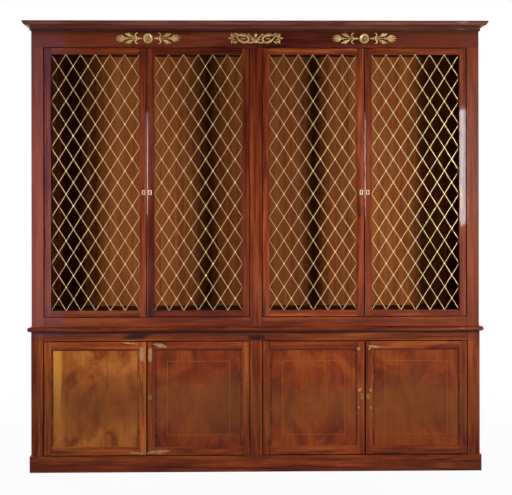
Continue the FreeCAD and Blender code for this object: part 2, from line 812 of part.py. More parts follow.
def lock(name, left, front, level):
    """A lock let into the back of the meeting stile, with its bolt drawn in."""
    behind = f"{front} + front_thick"
    middle = f"{behind} - lock_thick / 2"
    case_low = (left, f"{behind} - lock_thick", f"{level} - lock_case_height / 2")
    case_high = (f"{left} + lock_width", behind, f"{level} + lock_case_height / 2")
    blank = box(name + "_lock_blank", case_low, case_high)
    bolt = box(
        name + "_bolt_bar",
        (left, f"{middle} - bolt_thick / 2", f"{level} - bolt_height / 2"),
        (f"{left} + bolt_length", f"{middle} + bolt_thick / 2", f"{level} + bolt_height / 2"))
    channel = box(
        name + "_bolt_channel",
        (left, f"{middle} - bolt_thick / 2 - bolt_play", f"{level} - bolt_height / 2 - bolt_play"),
        (f"{left} + bolt_length + bolt_play", f"{middle} + bolt_thick / 2 + bolt_play",
         f"{level} + bolt_height / 2 + bolt_play"))
    node(name + "_lock", cut(name + "_lock_case", blank, channel))
    node(name + "_bolt", bolt)
    return blank


def keep(label, right, front, level):
    """The pocket in the passive leaf's edge that takes the bolt."""
    middle = f"{front} + front_thick - lock_thick / 2"
    half_thick = "(bolt_thick / 2 + keep_play)"
    half_tall = "(bolt_height / 2 + keep_play)"
    depth = "bolt_travel - door_gap + keep_end_gap"
    return box(
        label,
        (f"{right} - ({depth})", f"{middle} - {half_thick}", f"{level} - {half_tall}"),
        (right, f"{middle} + {half_thick}", f"{level} + {half_tall}"))


def leaf_brass(tier, name, left, hinge, with_escutcheon):
    """Pivots, lock or keep, and escutcheon of one leaf, and the room that they need in its stiles."""
    front, sill, head, low, high, level = TIERS[tier]
    plates, rooms = pivots(name, left, hinge, front, low, high)
    brass = list(plates)
    room = {"left": [], "right": []}
    room[hinge] += rooms
    if hinge == "right":
        meeting = "left"
        key_x = f"{left} + key_inset"
        pair = f"{tier}_left" if name.endswith("2") else f"{tier}_right"
        room[meeting].append(lock(pair, left, front, level))
        key_depth = "front_thick - lock_thick"
    else:
        meeting = "right"
        key_x = f"{left} + leaf_width - key_inset"
        room[meeting].append(keep(f"{name}_keep", f"{left} + leaf_width", front, level))
        key_depth = "blind_key_depth"
    if with_escutcheon:
        corner = f"{tier}_escutcheon_corner"
        brass.append(escutcheon(f"{name}_escutcheon", key_x, front, level, corner))
        room[meeting].append(keyway(f"{name}_keyway", key_x, front, level, f"({key_depth})"))
    return brass, room


def edge_strip(label, left, front, low, high):
    """A slim rounded brass strip down the meeting edge of a leaf."""
    half = "edge_strip_width / 2"
    radius = f"((({half})^2 + edge_strip_bulge^2) / (2 * edge_strip_bulge))"
    body = profile_bar(
        label, "XY_Plane", (("0", "0"), ("edge_strip_width", "0")), f"({high}) - ({low})", {0: (radius, -1)})
    place(body, left, front, low)
    return body


# Brass lattice: a rear and a front layer of slanting strips, each with its own border
def lattice_layer(label, slant, sight_left, sight_low, near):
    """One layer: parallel strips slanting one way, trimmed to the border and joined to it."""
    lap = "grille_border / 2"
    rise = f"(grille_tall + 2 * {lap})"
    lean = "(diamond_wide / diamond_tall)"
    run = f"({rise} * {lean})"
    broad = "(strip_width * sqrt(diamond_wide^2 + diamond_tall^2) / diamond_tall)"
    if slant == "right":
        corners = (("0", "0"), (broad, "0"), (f"{broad} + {run}", rise), (run, rise))
    else:
        corners = ((run, "0"), (f"{run} + {broad}", "0"), (broad, rise), ("0", rise))
    strips = profile_bar(label + "_strips", "XZ_Plane", corners, "strip_thick", reverse=True)
    doc.recompute()
    row = strips.newObject("PartDesign::LinearPattern", label + "_row")
    row.Originals = [strips.Tip]
    row.Direction = (origin_feature(strips, "X_Axis"), [""])
    row.setExpression("Occurrences", bound("grille_columns + grille_rows - 1"))
    row.setExpression("Length", bound("(grille_columns + grille_rows - 2) * diamond_wide"))
    strips.Tip = row
    place(strips,
          f"{sight_left} + (1 - grille_rows) * diamond_wide - {lap} * {lean} - {broad} / 2",
          near, f"{sight_low} - {lap}")
    far = f"{near} + strip_thick"
    outer = box(
        label + "_outer",
        (f"{sight_left} - grille_border", near, f"{sight_low} - grille_border"),
        (f"{sight_left} + grille_wide + grille_border", far,
         f"{sight_low} + grille_tall + grille_border"))
    sight = box(
        label + "_sight", (sight_left, near, sight_low),
        (f"{sight_left} + grille_wide", far, f"{sight_low} + grille_tall"))
    trimmed = common(label + "_trimmed", strips, outer)
    return fuse(label, cut(label + "_border", outer, sight), trimmed)


def holding_beads(name, sight_left, sight_low, near, behind):
    """Four slips of wood that hold the lattice in its rebate."""
    sight_right = f"{sight_left} + grille_wide"
    sight_high = f"{sight_low} + grille_tall"
    low = f"{sight_low} - grille_rebate"
    high = f"{sight_high} + grille_rebate"
    return [
        box(f"{name}_bead_left", (f"{sight_left} - grille_rebate", near, low), (sight_left, behind, high)),
        box(f"{name}_bead_right", (sight_right, near, low), (f"{sight_right} + grille_rebate", behind, high)),
        box(f"{name}_bead_foot", (sight_left, near, low), (sight_right, behind, sight_low)),
        box(f"{name}_bead_head", (sight_left, near, sight_high), (sight_right, behind, high)),
    ]


def upper_leaf(number_name, left, hinge):
    name = f"upper_door_{number_name}"
    front, sill, head, low, high, level = TIERS["upper"]
    behind = f"{front} + front_thick"
    sight_left = f"{left} + upper_stile_width"
    sight_low = f"{low} + upper_rail_width"
    seat_near = f"{front} + grille_lip"
    rebate = box(
        name + "_rebate",
        (f"{sight_left} - grille_rebate", seat_near, f"{sight_low} - grille_rebate"),
        (f"{sight_left} + grille_wide + grille_rebate", behind, f"{sight_low} + grille_tall + grille_rebate"))
    brass, room = leaf_brass("upper", name, left, hinge, with_escutcheon=True)
    tenon_near = f"{front} + (grille_lip - door_tenon_thick) / 2"
    members = door_frame(name, left, front, low, high, "upper_stile_width", "upper_rail_width",
                         tenon_near, rebate, room)
    beads = holding_beads(name, sight_left, sight_low, f"{seat_near} + 2 * strip_thick", behind)
    node(name + "_frame", *members, *beads)
    node(name + "_grille",
         lattice_layer(name + "_front_layer", "right", sight_left, sight_low, seat_near),
         lattice_layer(name + "_rear_layer", "left", sight_left, sight_low, f"{seat_near} + strip_thick"))
    if hinge == "right":
        brass.append(edge_strip(name + "_edge_strip", left, front, low, high))
    node(name + "_brass", *brass)


# Lower doors: sunk panels with a bevelled moulding and a line of stringing
def rectangle_ring(body, plane, wide, tall, band):
    """A sketch of a rectangle with a smaller one inside it."""
    sketch = sketch_on(body, plane)
    add_outline(sketch, (("0", "0"), (wide, "0"), (wide, tall), ("0", tall)))
    right = f"{wide} - {band}"
    top = f"{tall} - {band}"
    add_outline(sketch, ((band, band), (right, band), (right, top), (band, top)))
    return sketch


def panel_moulding(label, sight_left, sight_low, wide, tall, near):
    """A small moulding round the panel, bevelled down towards it."""
    body = doc.addObject("PartDesign::Body", label)
    ring = pad(body, rectangle_ring(body, "XZ_Plane", wide, tall, "moulding_width"), "moulding_height")
    doc.recompute()
    face = -number("moulding_height")
    band = number("moulding_width")
    inner = []
    for index, edge in enumerate(ring.Shape.Edges, start=1):
        reach = edge.BoundBox
        on_face = abs(reach.YMin - face) < 1e-6 and abs(reach.YMax - face) < 1e-6
        if on_face and reach.XMin > band / 2 and reach.ZMin > band / 2:
            if reach.XMax < number(wide) - band / 2 and reach.ZMax < number(tall) - band / 2:
                inner.append(f"Edge{index}")
    bevel = body.newObject("PartDesign::Chamfer", label + "_bevel")
    bevel.Base = (ring, inner)
    bevel.setExpression("Size", bound("moulding_bevel"))
    body.Tip = bevel
    place(body, sight_left, near, sight_low)
    return body


def stringing_line(label, sight_left, sight_low, wide, tall, near):
    body = doc.addObject("PartDesign::Body", label)
    pad(body, rectangle_ring(
        body, "XZ_Plane", f"{wide} - 2 * stringing_margin", f"{tall} - 2 * stringing_margin",
        "stringing_width"), "stringing_thick", reverse=True)
    place(body, f"{sight_left} + stringing_margin", near, f"{sight_low} + stringing_margin")
    return body


def lower_leaf(number_name, left, hinge):
    name = f"lower_door_{number_name}"
    front, sill, head, low, high, level = TIERS["lower"]
    sight_left = f"{left} + lower_stile_width"
    sight_low = f"{low} + lower_rail_width"
    wide = "(leaf_width - 2 * lower_stile_width)"
    tall = "(lower_high - lower_low - 2 * lower_rail_width)"
    near = f"{front} + panel_recess"
    panel = box(
        name + "_panel_blank",
        (f"{sight_left} - panel_tongue", near, f"{sight_low} - panel_tongue"),
        (f"{sight_left} + {wide} + panel_tongue", f"{near} + panel_thick",
         f"{sight_low} + {tall} + panel_tongue"))
    brass, room = leaf_brass("lower", name, left, hinge, with_escutcheon=number_name != "1")
    tenon_near = f"{near} + (panel_thick - door_tenon_thick) / 2"
    members = door_frame(name, left, front, low, high, "lower_stile_width", "lower_rail_width",
                         tenon_near, panel, room)
    moulding = panel_moulding(name + "_moulding", sight_left, sight_low, wide, tall, near)
    node(name + "_frame", *members, moulding)
    stringing = stringing_line(name + "_stringing", sight_left, sight_low, wide, tall, near)
    node(name + "_panel", cut(name + "_panel_board", panel, stringing))
    node(name + "_brass", *brass, stringing)


for number_name, left, hinge in LEAVES:
    upper_leaf(number_name, left, hinge)
    lower_leaf(number_name, left, hinge)


# Gilt mounts: flat-backed castings of leaf and scroll work, drawn in the plane of the frieze.
# Shares are parts of a leaf's or a scroll's own size, of a spray's length and half height, or of
# the centre mount's reach and height.
FRONTWARDS = Vector(0, -1, 0)
LEAF_OUTLINE = ((0, 0), (0.4, 0.5), (1, 0), (0.4, -0.5))
SCROLL_STEPS = 4
SCROLL_CLOSING = 0.45
ROSETTE_PETALS = 8
PETAL_DEPTH = 0.12
BELL_LENGTH = 0.22
BELL_NECK = 0.22
BELL_MOUTH = 0.36
HORN_BAND = 0.34
HORN_SWEEP = 250
SPRAY_LEAVES = (
    (33, -0.06, 0.4, 0.32), (-33, -0.06, 0.4, 0.32), (0, -0.06, 0.52, 0.24),
    (0, 0.5, 0.39, 0.55), (26, 0.55, 0.29, 0.28), (-26, 0.55, 0.29, 0.28))
CENTRE_LEAF_WIDTH = 0.19
FOOT_LEVEL = -0.46
WING_PLACE = 0.48
CUP_SIDES = 6
CUP_RADIUS = 0.13
CUP_LEVEL = -0.36
FAN_LEAVES = ((0, 0.94), (44, 0.98), (-44, 0.98))
FOOT_LEAF_REACH = 0.4
BODY_SCROLL = (0.4, 0.14, 290)
BODY_TURN = -100
BODY_PLACE = (0.38, -0.04)
TAIL_SCROLL = (0.28, 0.1, 250)
TAIL_TURN = 150
TAIL_PLACE = (0.68, -0.02)
TAIL_LEAF_START = 0.13
WING_LEAVES = ((16, 0.72), (44, 0.6))
TAIL_LEAVES = ((48, 0.45), (-14, 0.6))


def turned(shape, angle, across=0, up=0):
    """Turn a shape in the plane of the frieze, then move it along and up."""
    shape.rotate(Vector(), FRONTWARDS, angle)
    shape.translate(Vector(across, 0, up))
    return shape


def flipped(shape, across=False):
    """The same shape turned over, top to bottom or end to end."""
    return shape.mirror(Vector(), Vector(1, 0, 0) if across else Vector(0, 0, 1))


def outline(points):
    """A closed run of straight edges in the plane of the frieze."""
    corners = [Vector(across, 0, up) for across, up in points]
    return Part.makePolygon(corners + corners[:1])


def leaf(length, width):
    """A pointed leaf lying along X from the origin, as a flat face."""
    return Part.Face(outline([(along * length, up * width) for along, up in LEAF_OUTLINE]))


def scroll(radius, band, sweep):
    """A curl that closes as it turns, starting on the X axis, as a flat face."""
    outer = []
    inner = []
    for step in range(SCROLL_STEPS + 1):
        share = step / SCROLL_STEPS
        angle = math.radians(sweep * share)
        reach = radius * (1 - SCROLL_CLOSING * share)
        for row, distance in ((outer, reach), (inner, reach - band)):
            row.append((distance * math.cos(angle), distance * math.sin(angle)))
    return Part.Face(outline(outer + inner[::-1]))


def casting(faces):
    """One flat-backed piece with the joined outline of many faces."""
    pieces = [face.extrude(FRONTWARDS * number("mount_relief")) for face in faces]
    return pieces[0].multiFuse(pieces[1:]).removeSplitter()


def ring_points(radius, count, dent=0):
    """Points round the origin, every second one drawn in by a share of the radius."""
    points = []
    for index in range(count):
        angle = math.tau * index / count
        reach = radius * (1 - dent * (index % 2))
        points.append((reach * math.cos(angle), reach * math.sin(angle)))
    return points


def rosette():
    """A petalled disc with a tapering boss."""
    radius = number("rosette_radius")
    disc = Part.Face(outline(ring_points(radius, 2 * ROSETTE_PETALS, PETAL_DEPTH)))
    foot = outline(ring_points(number("rosette_boss_radius"), ROSETTE_PETALS))
    tip = outline(ring_points(number("rosette_boss_radius") / 2, ROSETTE_PETALS))
    tip.translate(FRONTWARDS * number("rosette_boss"))
    boss = Part.makeLoft([foot, tip], True, True)
    return disc.extrude(FRONTWARDS * number("mount_relief")).fuse(boss).removeSplitter()


def ornament(shape, middle):
    """Set a finished casting on the frieze, a little above its middle."""
    piece = doc.addObject("Part::Feature", "ornament")
    piece.Shape = shape
    piece.Placement = FreeCAD.Placement(
        Vector(number(middle), number("upper_front"), number("upper_head + frieze_height / 2 + mount_lift")),
        FreeCAD.Rotation())
    return piece


def spray():
    """Half of a side mount: a bell with two curled horns, a pair of leaves and a barbed spear."""
    start = number("rosette_radius + spray_gap")
    along = number("spray_reach") - start
    half = number("spray_height") / 2
    mouth = start + along * BELL_LENGTH
    bell = [(start, -half * BELL_NECK), (mouth, -half * BELL_MOUTH),
            (mouth, half * BELL_MOUTH), (start, half * BELL_NECK)]
    curl = half / 2
    horn = turned(scroll(curl, curl * HORN_BAND, HORN_SWEEP), -90, mouth - curl * HORN_BAND, curl)
    faces = [Part.Face(outline(bell)), horn, flipped(horn)]
    rest = along - along * BELL_LENGTH
    for turn, share, length, width in SPRAY_LEAVES:
        faces.append(turned(leaf(along * length, half * width), turn, mouth + rest * share))
    return casting(faces)


def side_mount(middle):
    """A rosette between two sprays, which stand a little apart from it."""
    right = spray()
    return ornament(Part.makeCompound([rosette(), right, flipped(right, across=True)]), middle)


def centre_mount():
    """A cup with a fan of leaves, and to each side a winged scroll and a curled tail."""
    reach = number("centre_mount_reach")
    tall = number("centre_mount_height")
    leaf_width = tall * CENTRE_LEAF_WIDTH
    cup = Part.Face(outline(ring_points(tall * CUP_RADIUS, CUP_SIDES)))
    middle = [turned(cup, 0, 0, tall * CUP_LEVEL)]
    for turn, length in FAN_LEAVES:
        middle.append(turned(leaf(tall * length, leaf_width), 90 + turn, 0, tall * FOOT_LEVEL))
    body_radius, body_band, body_sweep = BODY_SCROLL
    body = scroll(tall * body_radius, tall * body_band, body_sweep)
    tail_radius, tail_band, tail_sweep = TAIL_SCROLL
    tail = flipped(scroll(tall * tail_radius, tall * tail_band, tail_sweep))
    tail_x = reach * TAIL_PLACE[0]
    tail_z = tall * TAIL_PLACE[1]
    half = [
        turned(body, BODY_TURN, reach * BODY_PLACE[0], tall * BODY_PLACE[1]),
        turned(tail, TAIL_TURN, tail_x, tail_z),
        turned(leaf(reach * FOOT_LEAF_REACH, leaf_width), 0, 0, tall * CUP_LEVEL),
    ]
    for turn, length in WING_LEAVES:
        half.append(turned(leaf(tall * length, leaf_width), turn, reach * WING_PLACE))
    for turn, length in TAIL_LEAVES:
        tip = turned(leaf(tall * length, leaf_width), 0, tall * TAIL_LEAF_START)
        half.append(turned(tip, turn, tail_x, tail_z))
    mirrored = [flipped(face, across=True) for face in half]
    return ornament(casting(middle + half + mirrored), "0")


node("left_frieze_mount", side_mount("left_mount_shift - meeting_middle"))
node("centre_frieze_mount", centre_mount())
node("right_frieze_mount", side_mount("meeting_middle"))

# Check everything, then write one file for each sub-part
doc.recompute()
for item in doc.Objects:
    if "Invalid" in item.State or "Error" in item.State:
        raise RuntimeError(f"{item.Label} did not build: {item.State}")
for name, piece in NODES.items():
    if piece.Shape.isNull() or not piece.Shape.isValid():
        raise RuntimeError(f"{name} has no valid shape")
os.makedirs("parts", exist_ok=True)
for name, piece in NODES.items():
    piece.Shape.exportStep(f"parts/{name}.step")
print(len(NODES), "sub-parts,", sum(len(piece.Shape.Solids) for piece in NODES.values()), "solids")
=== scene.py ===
# %% [markdown]
# # A mahogany bookcase with brass lattice doors
# The cabinetmaker's solids come first: every board, door, lock and strip is loaded as a fixed frame.
# They keep their places and sizes. This lesson gives them polish, metal and light, and builds the
# small cast and pressed ornaments, which are easier to shape as meshes than as solids.

# %% Load the frame
import math

import bmesh
import bpy
from mathutils import Matrix, Vector


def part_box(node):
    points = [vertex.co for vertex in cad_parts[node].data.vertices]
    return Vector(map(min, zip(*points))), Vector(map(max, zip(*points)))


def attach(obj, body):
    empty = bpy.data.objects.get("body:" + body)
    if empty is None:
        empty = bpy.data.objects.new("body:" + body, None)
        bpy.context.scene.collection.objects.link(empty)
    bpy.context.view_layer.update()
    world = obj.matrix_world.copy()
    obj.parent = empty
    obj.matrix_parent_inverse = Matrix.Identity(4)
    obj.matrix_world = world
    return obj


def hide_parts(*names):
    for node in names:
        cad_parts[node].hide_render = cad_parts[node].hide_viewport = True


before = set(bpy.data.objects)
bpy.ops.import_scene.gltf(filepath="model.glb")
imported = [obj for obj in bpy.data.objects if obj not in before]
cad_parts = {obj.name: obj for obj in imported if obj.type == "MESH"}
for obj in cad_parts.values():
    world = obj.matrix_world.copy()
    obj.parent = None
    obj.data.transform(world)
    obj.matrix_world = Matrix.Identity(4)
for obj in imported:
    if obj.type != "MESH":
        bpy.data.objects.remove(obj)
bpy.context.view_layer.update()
scene = bpy.context.scene
scene.view_settings.view_transform = "Standard"

# %% [markdown]
# ## The camera
# A wide piece of furniture is photographed from far away with a long lens, so its edges stay upright.
# The camera could be tipped down to centre the bookcase, but that would make the posts lean.
# It looks level, with a hair of roll, and the lens is shifted down a little instead, as on a view camera.

# %% Set up the camera
IMAGE_WIDTH = 512
SENSOR_WIDTH = 36.0
CAMERA_PLACE = (-0.179, -8.0, 1.45)
CAMERA_TURN = -0.0230
CAMERA_ROLL = -0.0015
FOCAL_PIXELS = 1463.0
DROP_PIXELS = -48.2

camera_data = bpy.data.cameras.new("studio_camera")
camera_data.sensor_width = SENSOR_WIDTH
camera_data.lens = FOCAL_PIXELS * SENSOR_WIDTH / IMAGE_WIDTH
camera_data.shift_y = DROP_PIXELS / IMAGE_WIDTH
camera = bpy.data.objects.new("studio_camera", camera_data)
camera.matrix_world = (
    Matrix.Translation(CAMERA_PLACE)
    @ Matrix.Rotation(CAMERA_TURN, 4, "Z")
    @ Matrix.Rotation(math.pi / 2, 4, "X")
    @ Matrix.Rotation(CAMERA_ROLL, 4, "Z"))
scene.collection.objects.link(camera)
scene.camera = camera
print("lens", round(camera_data.lens, 1), "mm, shift", round(camera_data.shift_y, 3))

# %% [markdown]
# ## Building a finish node by node
# Every finish here is a small graph of texture and colour nodes. Writing each node out by hand is long,
# so a helper class adds a node, sets its sockets and hands back the output for the next one.
# Colours are written as they look on screen and turned into the linear values that light works with.

# %% A graph of nodes
def paint(red, green, blue):
    """A colour read off the screen, as linear light with full alpha."""
    def linear(value):
        share = value / 255
        return share / 12.92 if share <= 0.04045 else ((share + 0.055) / 1.055) ** 2.4
    return (linear(red), linear(green), linear(blue), 1.0)


class Graph:
    """The node tree of a material or a world, which grows node by node."""

    def __init__(self, owner):
        owner.use_nodes = True
        self.tree = owner.node_tree
        self.tree.nodes.clear()

    def feed(self, socket, value):
        if isinstance(value, bpy.types.NodeSocket):
            self.tree.links.new(value, socket)
        else:
            socket.default_value = value

    def node(self, kind, inputs=None, **settings):
        made = self.tree.nodes.new(kind)
        for key, value in settings.items():
            setattr(made, key, value)
        for key, value in (inputs or {}).items():
            self.feed(made.inputs[key], value)
        return made

    def math(self, operation, first, second=0.0, third=0.0):
        made = self.node("ShaderNodeMath", {0: first, 1: second, 2: third}, operation=operation)
        return made.outputs[0]

    def split(self, vector):
        return self.node("ShaderNodeSeparateXYZ", {0: vector}).outputs

    def join(self, x, y, z):
        return self.node("ShaderNodeCombineXYZ", {0: x, 1: y, 2: z}).outputs[0]

    def length(self, vector):
        return self.node("ShaderNodeVectorMath", {0: vector}, operation="LENGTH").outputs["Value"]

    def stretched(self, vector, scale, offset=(0.0, 0.0, 0.0)):
        made = self.node("ShaderNodeMapping", {"Vector": vector, "Scale": scale, "Location": offset})
        return made.outputs[0]

    def noise(self, vector, scale, detail=3.0, rough=0.55, distortion=0.0):
        made = self.node("ShaderNodeTexNoise", {
            "Vector": vector, "Scale": scale, "Detail": detail,
            "Roughness": rough, "Distortion": distortion})
        return made.outputs[0]

    def span(self, value, low, high, start=0.0, end=1.0):
        """Remaps a value smoothly from low..high to start..end."""
        made = self.node("ShaderNodeMapRange", {
            "Value": value, "From Min": low, "From Max": high, "To Min": start, "To Max": end},
            interpolation_type="SMOOTHSTEP")
        return made.outputs[0]

    def blend(self, factor, first, second):
        made = self.node("ShaderNodeMix", {0: factor, 6: first, 7: second}, data_type="RGBA")
        return made.outputs[2]

    def choose(self, factor, first, second):
        made = self.node("ShaderNodeMix", {0: factor, 4: first, 5: second}, data_type="VECTOR")
        return made.outputs[1]

    def ramp(self, value, positions, colours):
        made = self.node("ShaderNodeValToRGB", {0: value})
        elements = made.color_ramp.elements
        while len(elements) < len(positions):
            elements.new(0.5)
        for element, position, colour in zip(elements, positions, colours):
            element.position = position
            element.color = colour
        return made.outputs[0]

    def near(self, value, middle, reach):
        """One where the value lies within reach of the middle, else zero."""
        return self.math("COMPARE", value, middle, reach)


print("graph helper ready")

# %% A finish made of nodes
PATCH_SPREAD = (0.3, 0.7)


class Finish(Graph):
    """A material whose textures stay fixed to the piece."""

    def __init__(self, name):
        self.material = bpy.data.materials.new(name)
        super().__init__(self.material)
        self.output = self.node("ShaderNodeOutputMaterial")
        self.place = self.node("ShaderNodeTexCoord").outputs["Object"]

    def patchy(self, scale, low, high):
        """A value that drifts between low and high from patch to patch."""
        return self.span(self.noise(self.place, scale), *PATCH_SPREAD, low, high)

    def surface(self, inputs, bump, strength, depth, normal=None):
        shader = self.node("ShaderNodeBsdfPrincipled", inputs)
        relief = self.node("ShaderNodeBump", {"Strength": strength, "Distance": depth, "Height": bump})
        if normal is not None:
            self.feed(relief.inputs["Normal"], normal)
        self.feed(shader.inputs["Normal"], relief.outputs[0])
        self.feed(self.output.inputs["Surface"], shader.outputs[0])
        return self.material


print("finish helper ready")

# %% [markdown]
# ## The white surroundings
# The bookcase stands in front of white. Flooding it with light would wash the polish out, so the white is
# only what the camera and mirror-like reflections see, and reflections of the front of the studio stay
# dim. The light that reaches the wood is kept low, so the shadows behind the lattice stay deep.

# %% White surroundings
AMBIENT = (0.009, 0.008, 0.010, 1.0)
WHITE = (1.0, 1.0, 1.0, 1.0)
DIM_STUDIO = (0.03, 0.03, 0.03, 1.0)
DIM_UNTIL = -0.45
WHITE_FROM = 0.1

world = bpy.data.worlds.new("white_studio")
scene.world = world
sky = Graph(world)
rays = sky.node("ShaderNodeLightPath").outputs
direction = sky.node("ShaderNodeTexCoord").outputs["Generated"]
toward_back = sky.split(direction)["Y"]
brightening = sky.node("ShaderNodeMapRange", {
    "Value": toward_back, "From Min": DIM_UNTIL, "From Max": WHITE_FROM}).outputs[0]
mirrored = sky.blend(brightening, DIM_STUDIO, WHITE)
mirror_ray = sky.math("MAXIMUM", rays["Is Glossy Ray"], rays["Is Transmission Ray"])
lit = sky.blend(mirror_ray, AMBIENT, mirrored)
seen = sky.blend(rays["Is Camera Ray"], lit, WHITE)
glow = sky.node("ShaderNodeBackground", {"Color": seen, "Strength": 1.0}).outputs[0]
sky.node("ShaderNodeOutputWorld", {"Surface": glow})
print("surroundings", len(sky.tree.nodes), "nodes")

# %% [markdown]
# ## The floor
# A seamless floor looks almost as white as what is behind it. A white surface would throw light back up
# under the mouldings, so the floor is dull to the light and pale only to the camera and in reflections.
# A small share of it stays matt, which takes the shadow of the plinth.

# %% Pale floor
FLOOR_SIZE = 60.0
FLOOR_WHITE_NEAR = 0.95
FLOOR_WHITE_FAR = 1.0
FLOOR_FADE = (1.8, 4.5)
MATT_FLOOR = (0.82, 0.82, 0.82, 1.0)
DULL_FLOOR = (0.12, 0.12, 0.12, 1.0)


def studio_board(name, placing, material):
    """A flat square board, one metre wide before it is placed."""
    shape = bmesh.new()
    bmesh.ops.create_grid(shape, x_segments=1, y_segments=1, size=0.5)
    bmesh.ops.transform(shape, matrix=placing, verts=shape.verts)
    mesh = bpy.data.meshes.new(name)
    shape.to_mesh(mesh)
    shape.free()
    mesh.materials.append(material)
    board = bpy.data.objects.new(name, mesh)
    scene.collection.objects.link(board)
    return board


pale = Finish("pale_floor")
pale_rays = pale.node("ShaderNodeLightPath").outputs
matt = pale.node("ShaderNodeBsdfDiffuse", {"Color": MATT_FLOOR}).outputs[0]
dull = pale.node("ShaderNodeBsdfDiffuse", {"Color": DULL_FLOOR}).outputs[0]
white_glow = pale.node("ShaderNodeEmission", {"Color": WHITE, "Strength": 1.0}).outputs[0]
shown = pale.math("MAXIMUM", pale_rays["Is Camera Ray"], pale_rays["Is Glossy Ray"])
shown = pale.math("MAXIMUM", shown, pale_rays["Is Transmission Ray"])
white_share = pale.span(pale.length(pale.place), *FLOOR_FADE, FLOOR_WHITE_NEAR, FLOOR_WHITE_FAR)
pale_mix = pale.node("ShaderNodeMixShader", {0: white_share, 1: matt, 2: white_glow}).outputs[0]
pale_mix = pale.node("ShaderNodeMixShader", {0: shown, 1: dull, 2: pale_mix}).outputs[0]
pale.feed(pale.output.inputs["Surface"], pale_mix)

floor = studio_board("studio_floor", Matrix.Diagonal((FLOOR_SIZE, FLOOR_SIZE, 1.0, 1.0)), pale.material)
print("floor", FLOOR_SIZE, "m wide")

# %% [markdown]
# ## The lamps
# The upright shadows behind the lattice show where the light stood: one lamp to each side, about half as
# far in front of the doors as they stand apart. Small lamps keep those shadows clear. Each lamp lights its
# own half: a black board, which photographers call a flag, stands in the way of the other half, so the
# shadows between the doors go nearly black. Two wide lamps behind and one above light the back and the
# top evenly, so the bookcase can be looked at from every side.

# %% Set up the lamps
LAMPS = (
    ("left_lamp", (-2.40, -2.39, 1.70), (0.15, -0.19, 1.15), (0.48, 0.75), 24.5, 96),
    ("right_lamp", (2.42, -3.15, 1.70), (0.10, -0.19, 1.15), (0.60, 0.75), 38.0, 96),
    ("back_left_lamp", (-3.2, 4.0, 2.2), (0.0, 0.2, 1.2), (1.6, 1.6), 130.0, 180),
    ("back_right_lamp", (3.2, 4.0, 2.2), (0.0, 0.2, 1.2), (1.6, 1.6), 130.0, 180),
    ("top_lamp", (0.0, 0.3, 5.2), (0.0, 0.0, 2.4), (2.4, 1.2), 4.0, 60),
)


def hang_lamp(name, spot, aim, size, power, beam=180):
    """A flat rectangular lamp that faces a point, with a beam so many degrees wide."""
    lamp_data = bpy.data.lights.new(name, "AREA")
    lamp_data.shape = "RECTANGLE"
    lamp_data.size, lamp_data.size_y = size
    lamp_data.energy = power
    lamp_data.spread = math.radians(beam)
    lamp = bpy.data.objects.new(name, lamp_data)
    lamp.location = spot
    lamp.rotation_euler = (Vector(aim) - Vector(spot)).to_track_quat("-Z", "Y").to_euler()
    scene.collection.objects.link(lamp)
    return lamp


for lamp_row in LAMPS:
    hang_lamp(*lamp_row)
print("lamps", len(LAMPS))

# %% Flags beside the two front lamps
FLAG_WIDTH = 0.9
FLAG_HEIGHT = 3.2
FLAG_DISTANCE = 1.3
FLAG_CUTS = {"left_lamp": 0.20, "right_lamp": -0.36}
BLACK = (0.0, 0.0, 0.0, 1.0)

black = Finish("black_felt")
felt = black.node("ShaderNodeBsdfDiffuse", {"Color": BLACK}).outputs[0]
black.feed(black.output.inputs["Surface"], felt)

for name, spot, aim in [lamp_row[:3] for lamp_row in LAMPS if lamp_row[0] in FLAG_CUTS]:
    side = math.copysign(1.0, spot[0])
    source = Vector((spot[0], spot[1], 0.0))
    beam = (Vector((FLAG_CUTS[name], aim[1], 0.0)) - source).normalized()
    across = Vector((-side * abs(beam.y), -abs(beam.x), 0.0))
    middle = source + beam * FLAG_DISTANCE + across * FLAG_WIDTH / 2
    stand = (Matrix.Translation(middle + Vector((0.0, 0.0, FLAG_HEIGHT / 2)))
             @ beam.to_track_quat("Z", "Y").to_matrix().to_4x4()
             @ Matrix.Rotation(math.pi / 2, 4, "Z")
             @ Matrix.Diagonal((FLAG_HEIGHT, FLAG_WIDTH, 1.0, 1.0)))
    flag = studio_board(name.replace("lamp", "flag"), stand, black.material)
    flag.visible_camera = False
    flag.visible_glossy = False
    flag.visible_transmission = False
    print(flag.name, "at", [round(value, 2) for value in middle])

# %% [markdown]
# ## Light for the polish
# Polished wood also mirrors pale things that light it very little. A slim strip to the right of the camera
# shows in the right-hand stile, and a cool window to its left shows in the left-hand post. Two slits show
# in the brass strips where the upper doors meet. All are lamps that only reflections see, so they add
# sheen without filling the shadows.

# %% Set up the sheen
SHEENS = (
    ("strip_sheen", (1.930, -5.20, 1.73), (1.11, -0.19, 1.60), (0.050, 1.02), 19.0, (0.86, 0.98, 1.0)),
    ("window_sheen", (-2.12, -8.0, 1.50), (-1.14, -0.19, 1.50), (0.50, 3.4), 23.0, (0.46, 0.40, 1.0)),
    ("left_slit_sheen", (-0.828, -5.0, 1.807), (-0.58, -0.19, 1.67), (0.02, 0.80), 0.75, (1.0, 0.98, 1.0)),
    ("right_slit_sheen", (1.055, -5.0, 1.755), (0.584, -0.19, 1.64), (0.02, 0.70), 0.38, (1.0, 0.98, 1.0)),
)

for name, spot, aim, size, power, colour in SHEENS:
    sheen = hang_lamp(name, spot, aim, size, power)
    sheen.data.color = colour
    sheen.visible_diffuse = False
print("sheens", len(SHEENS))

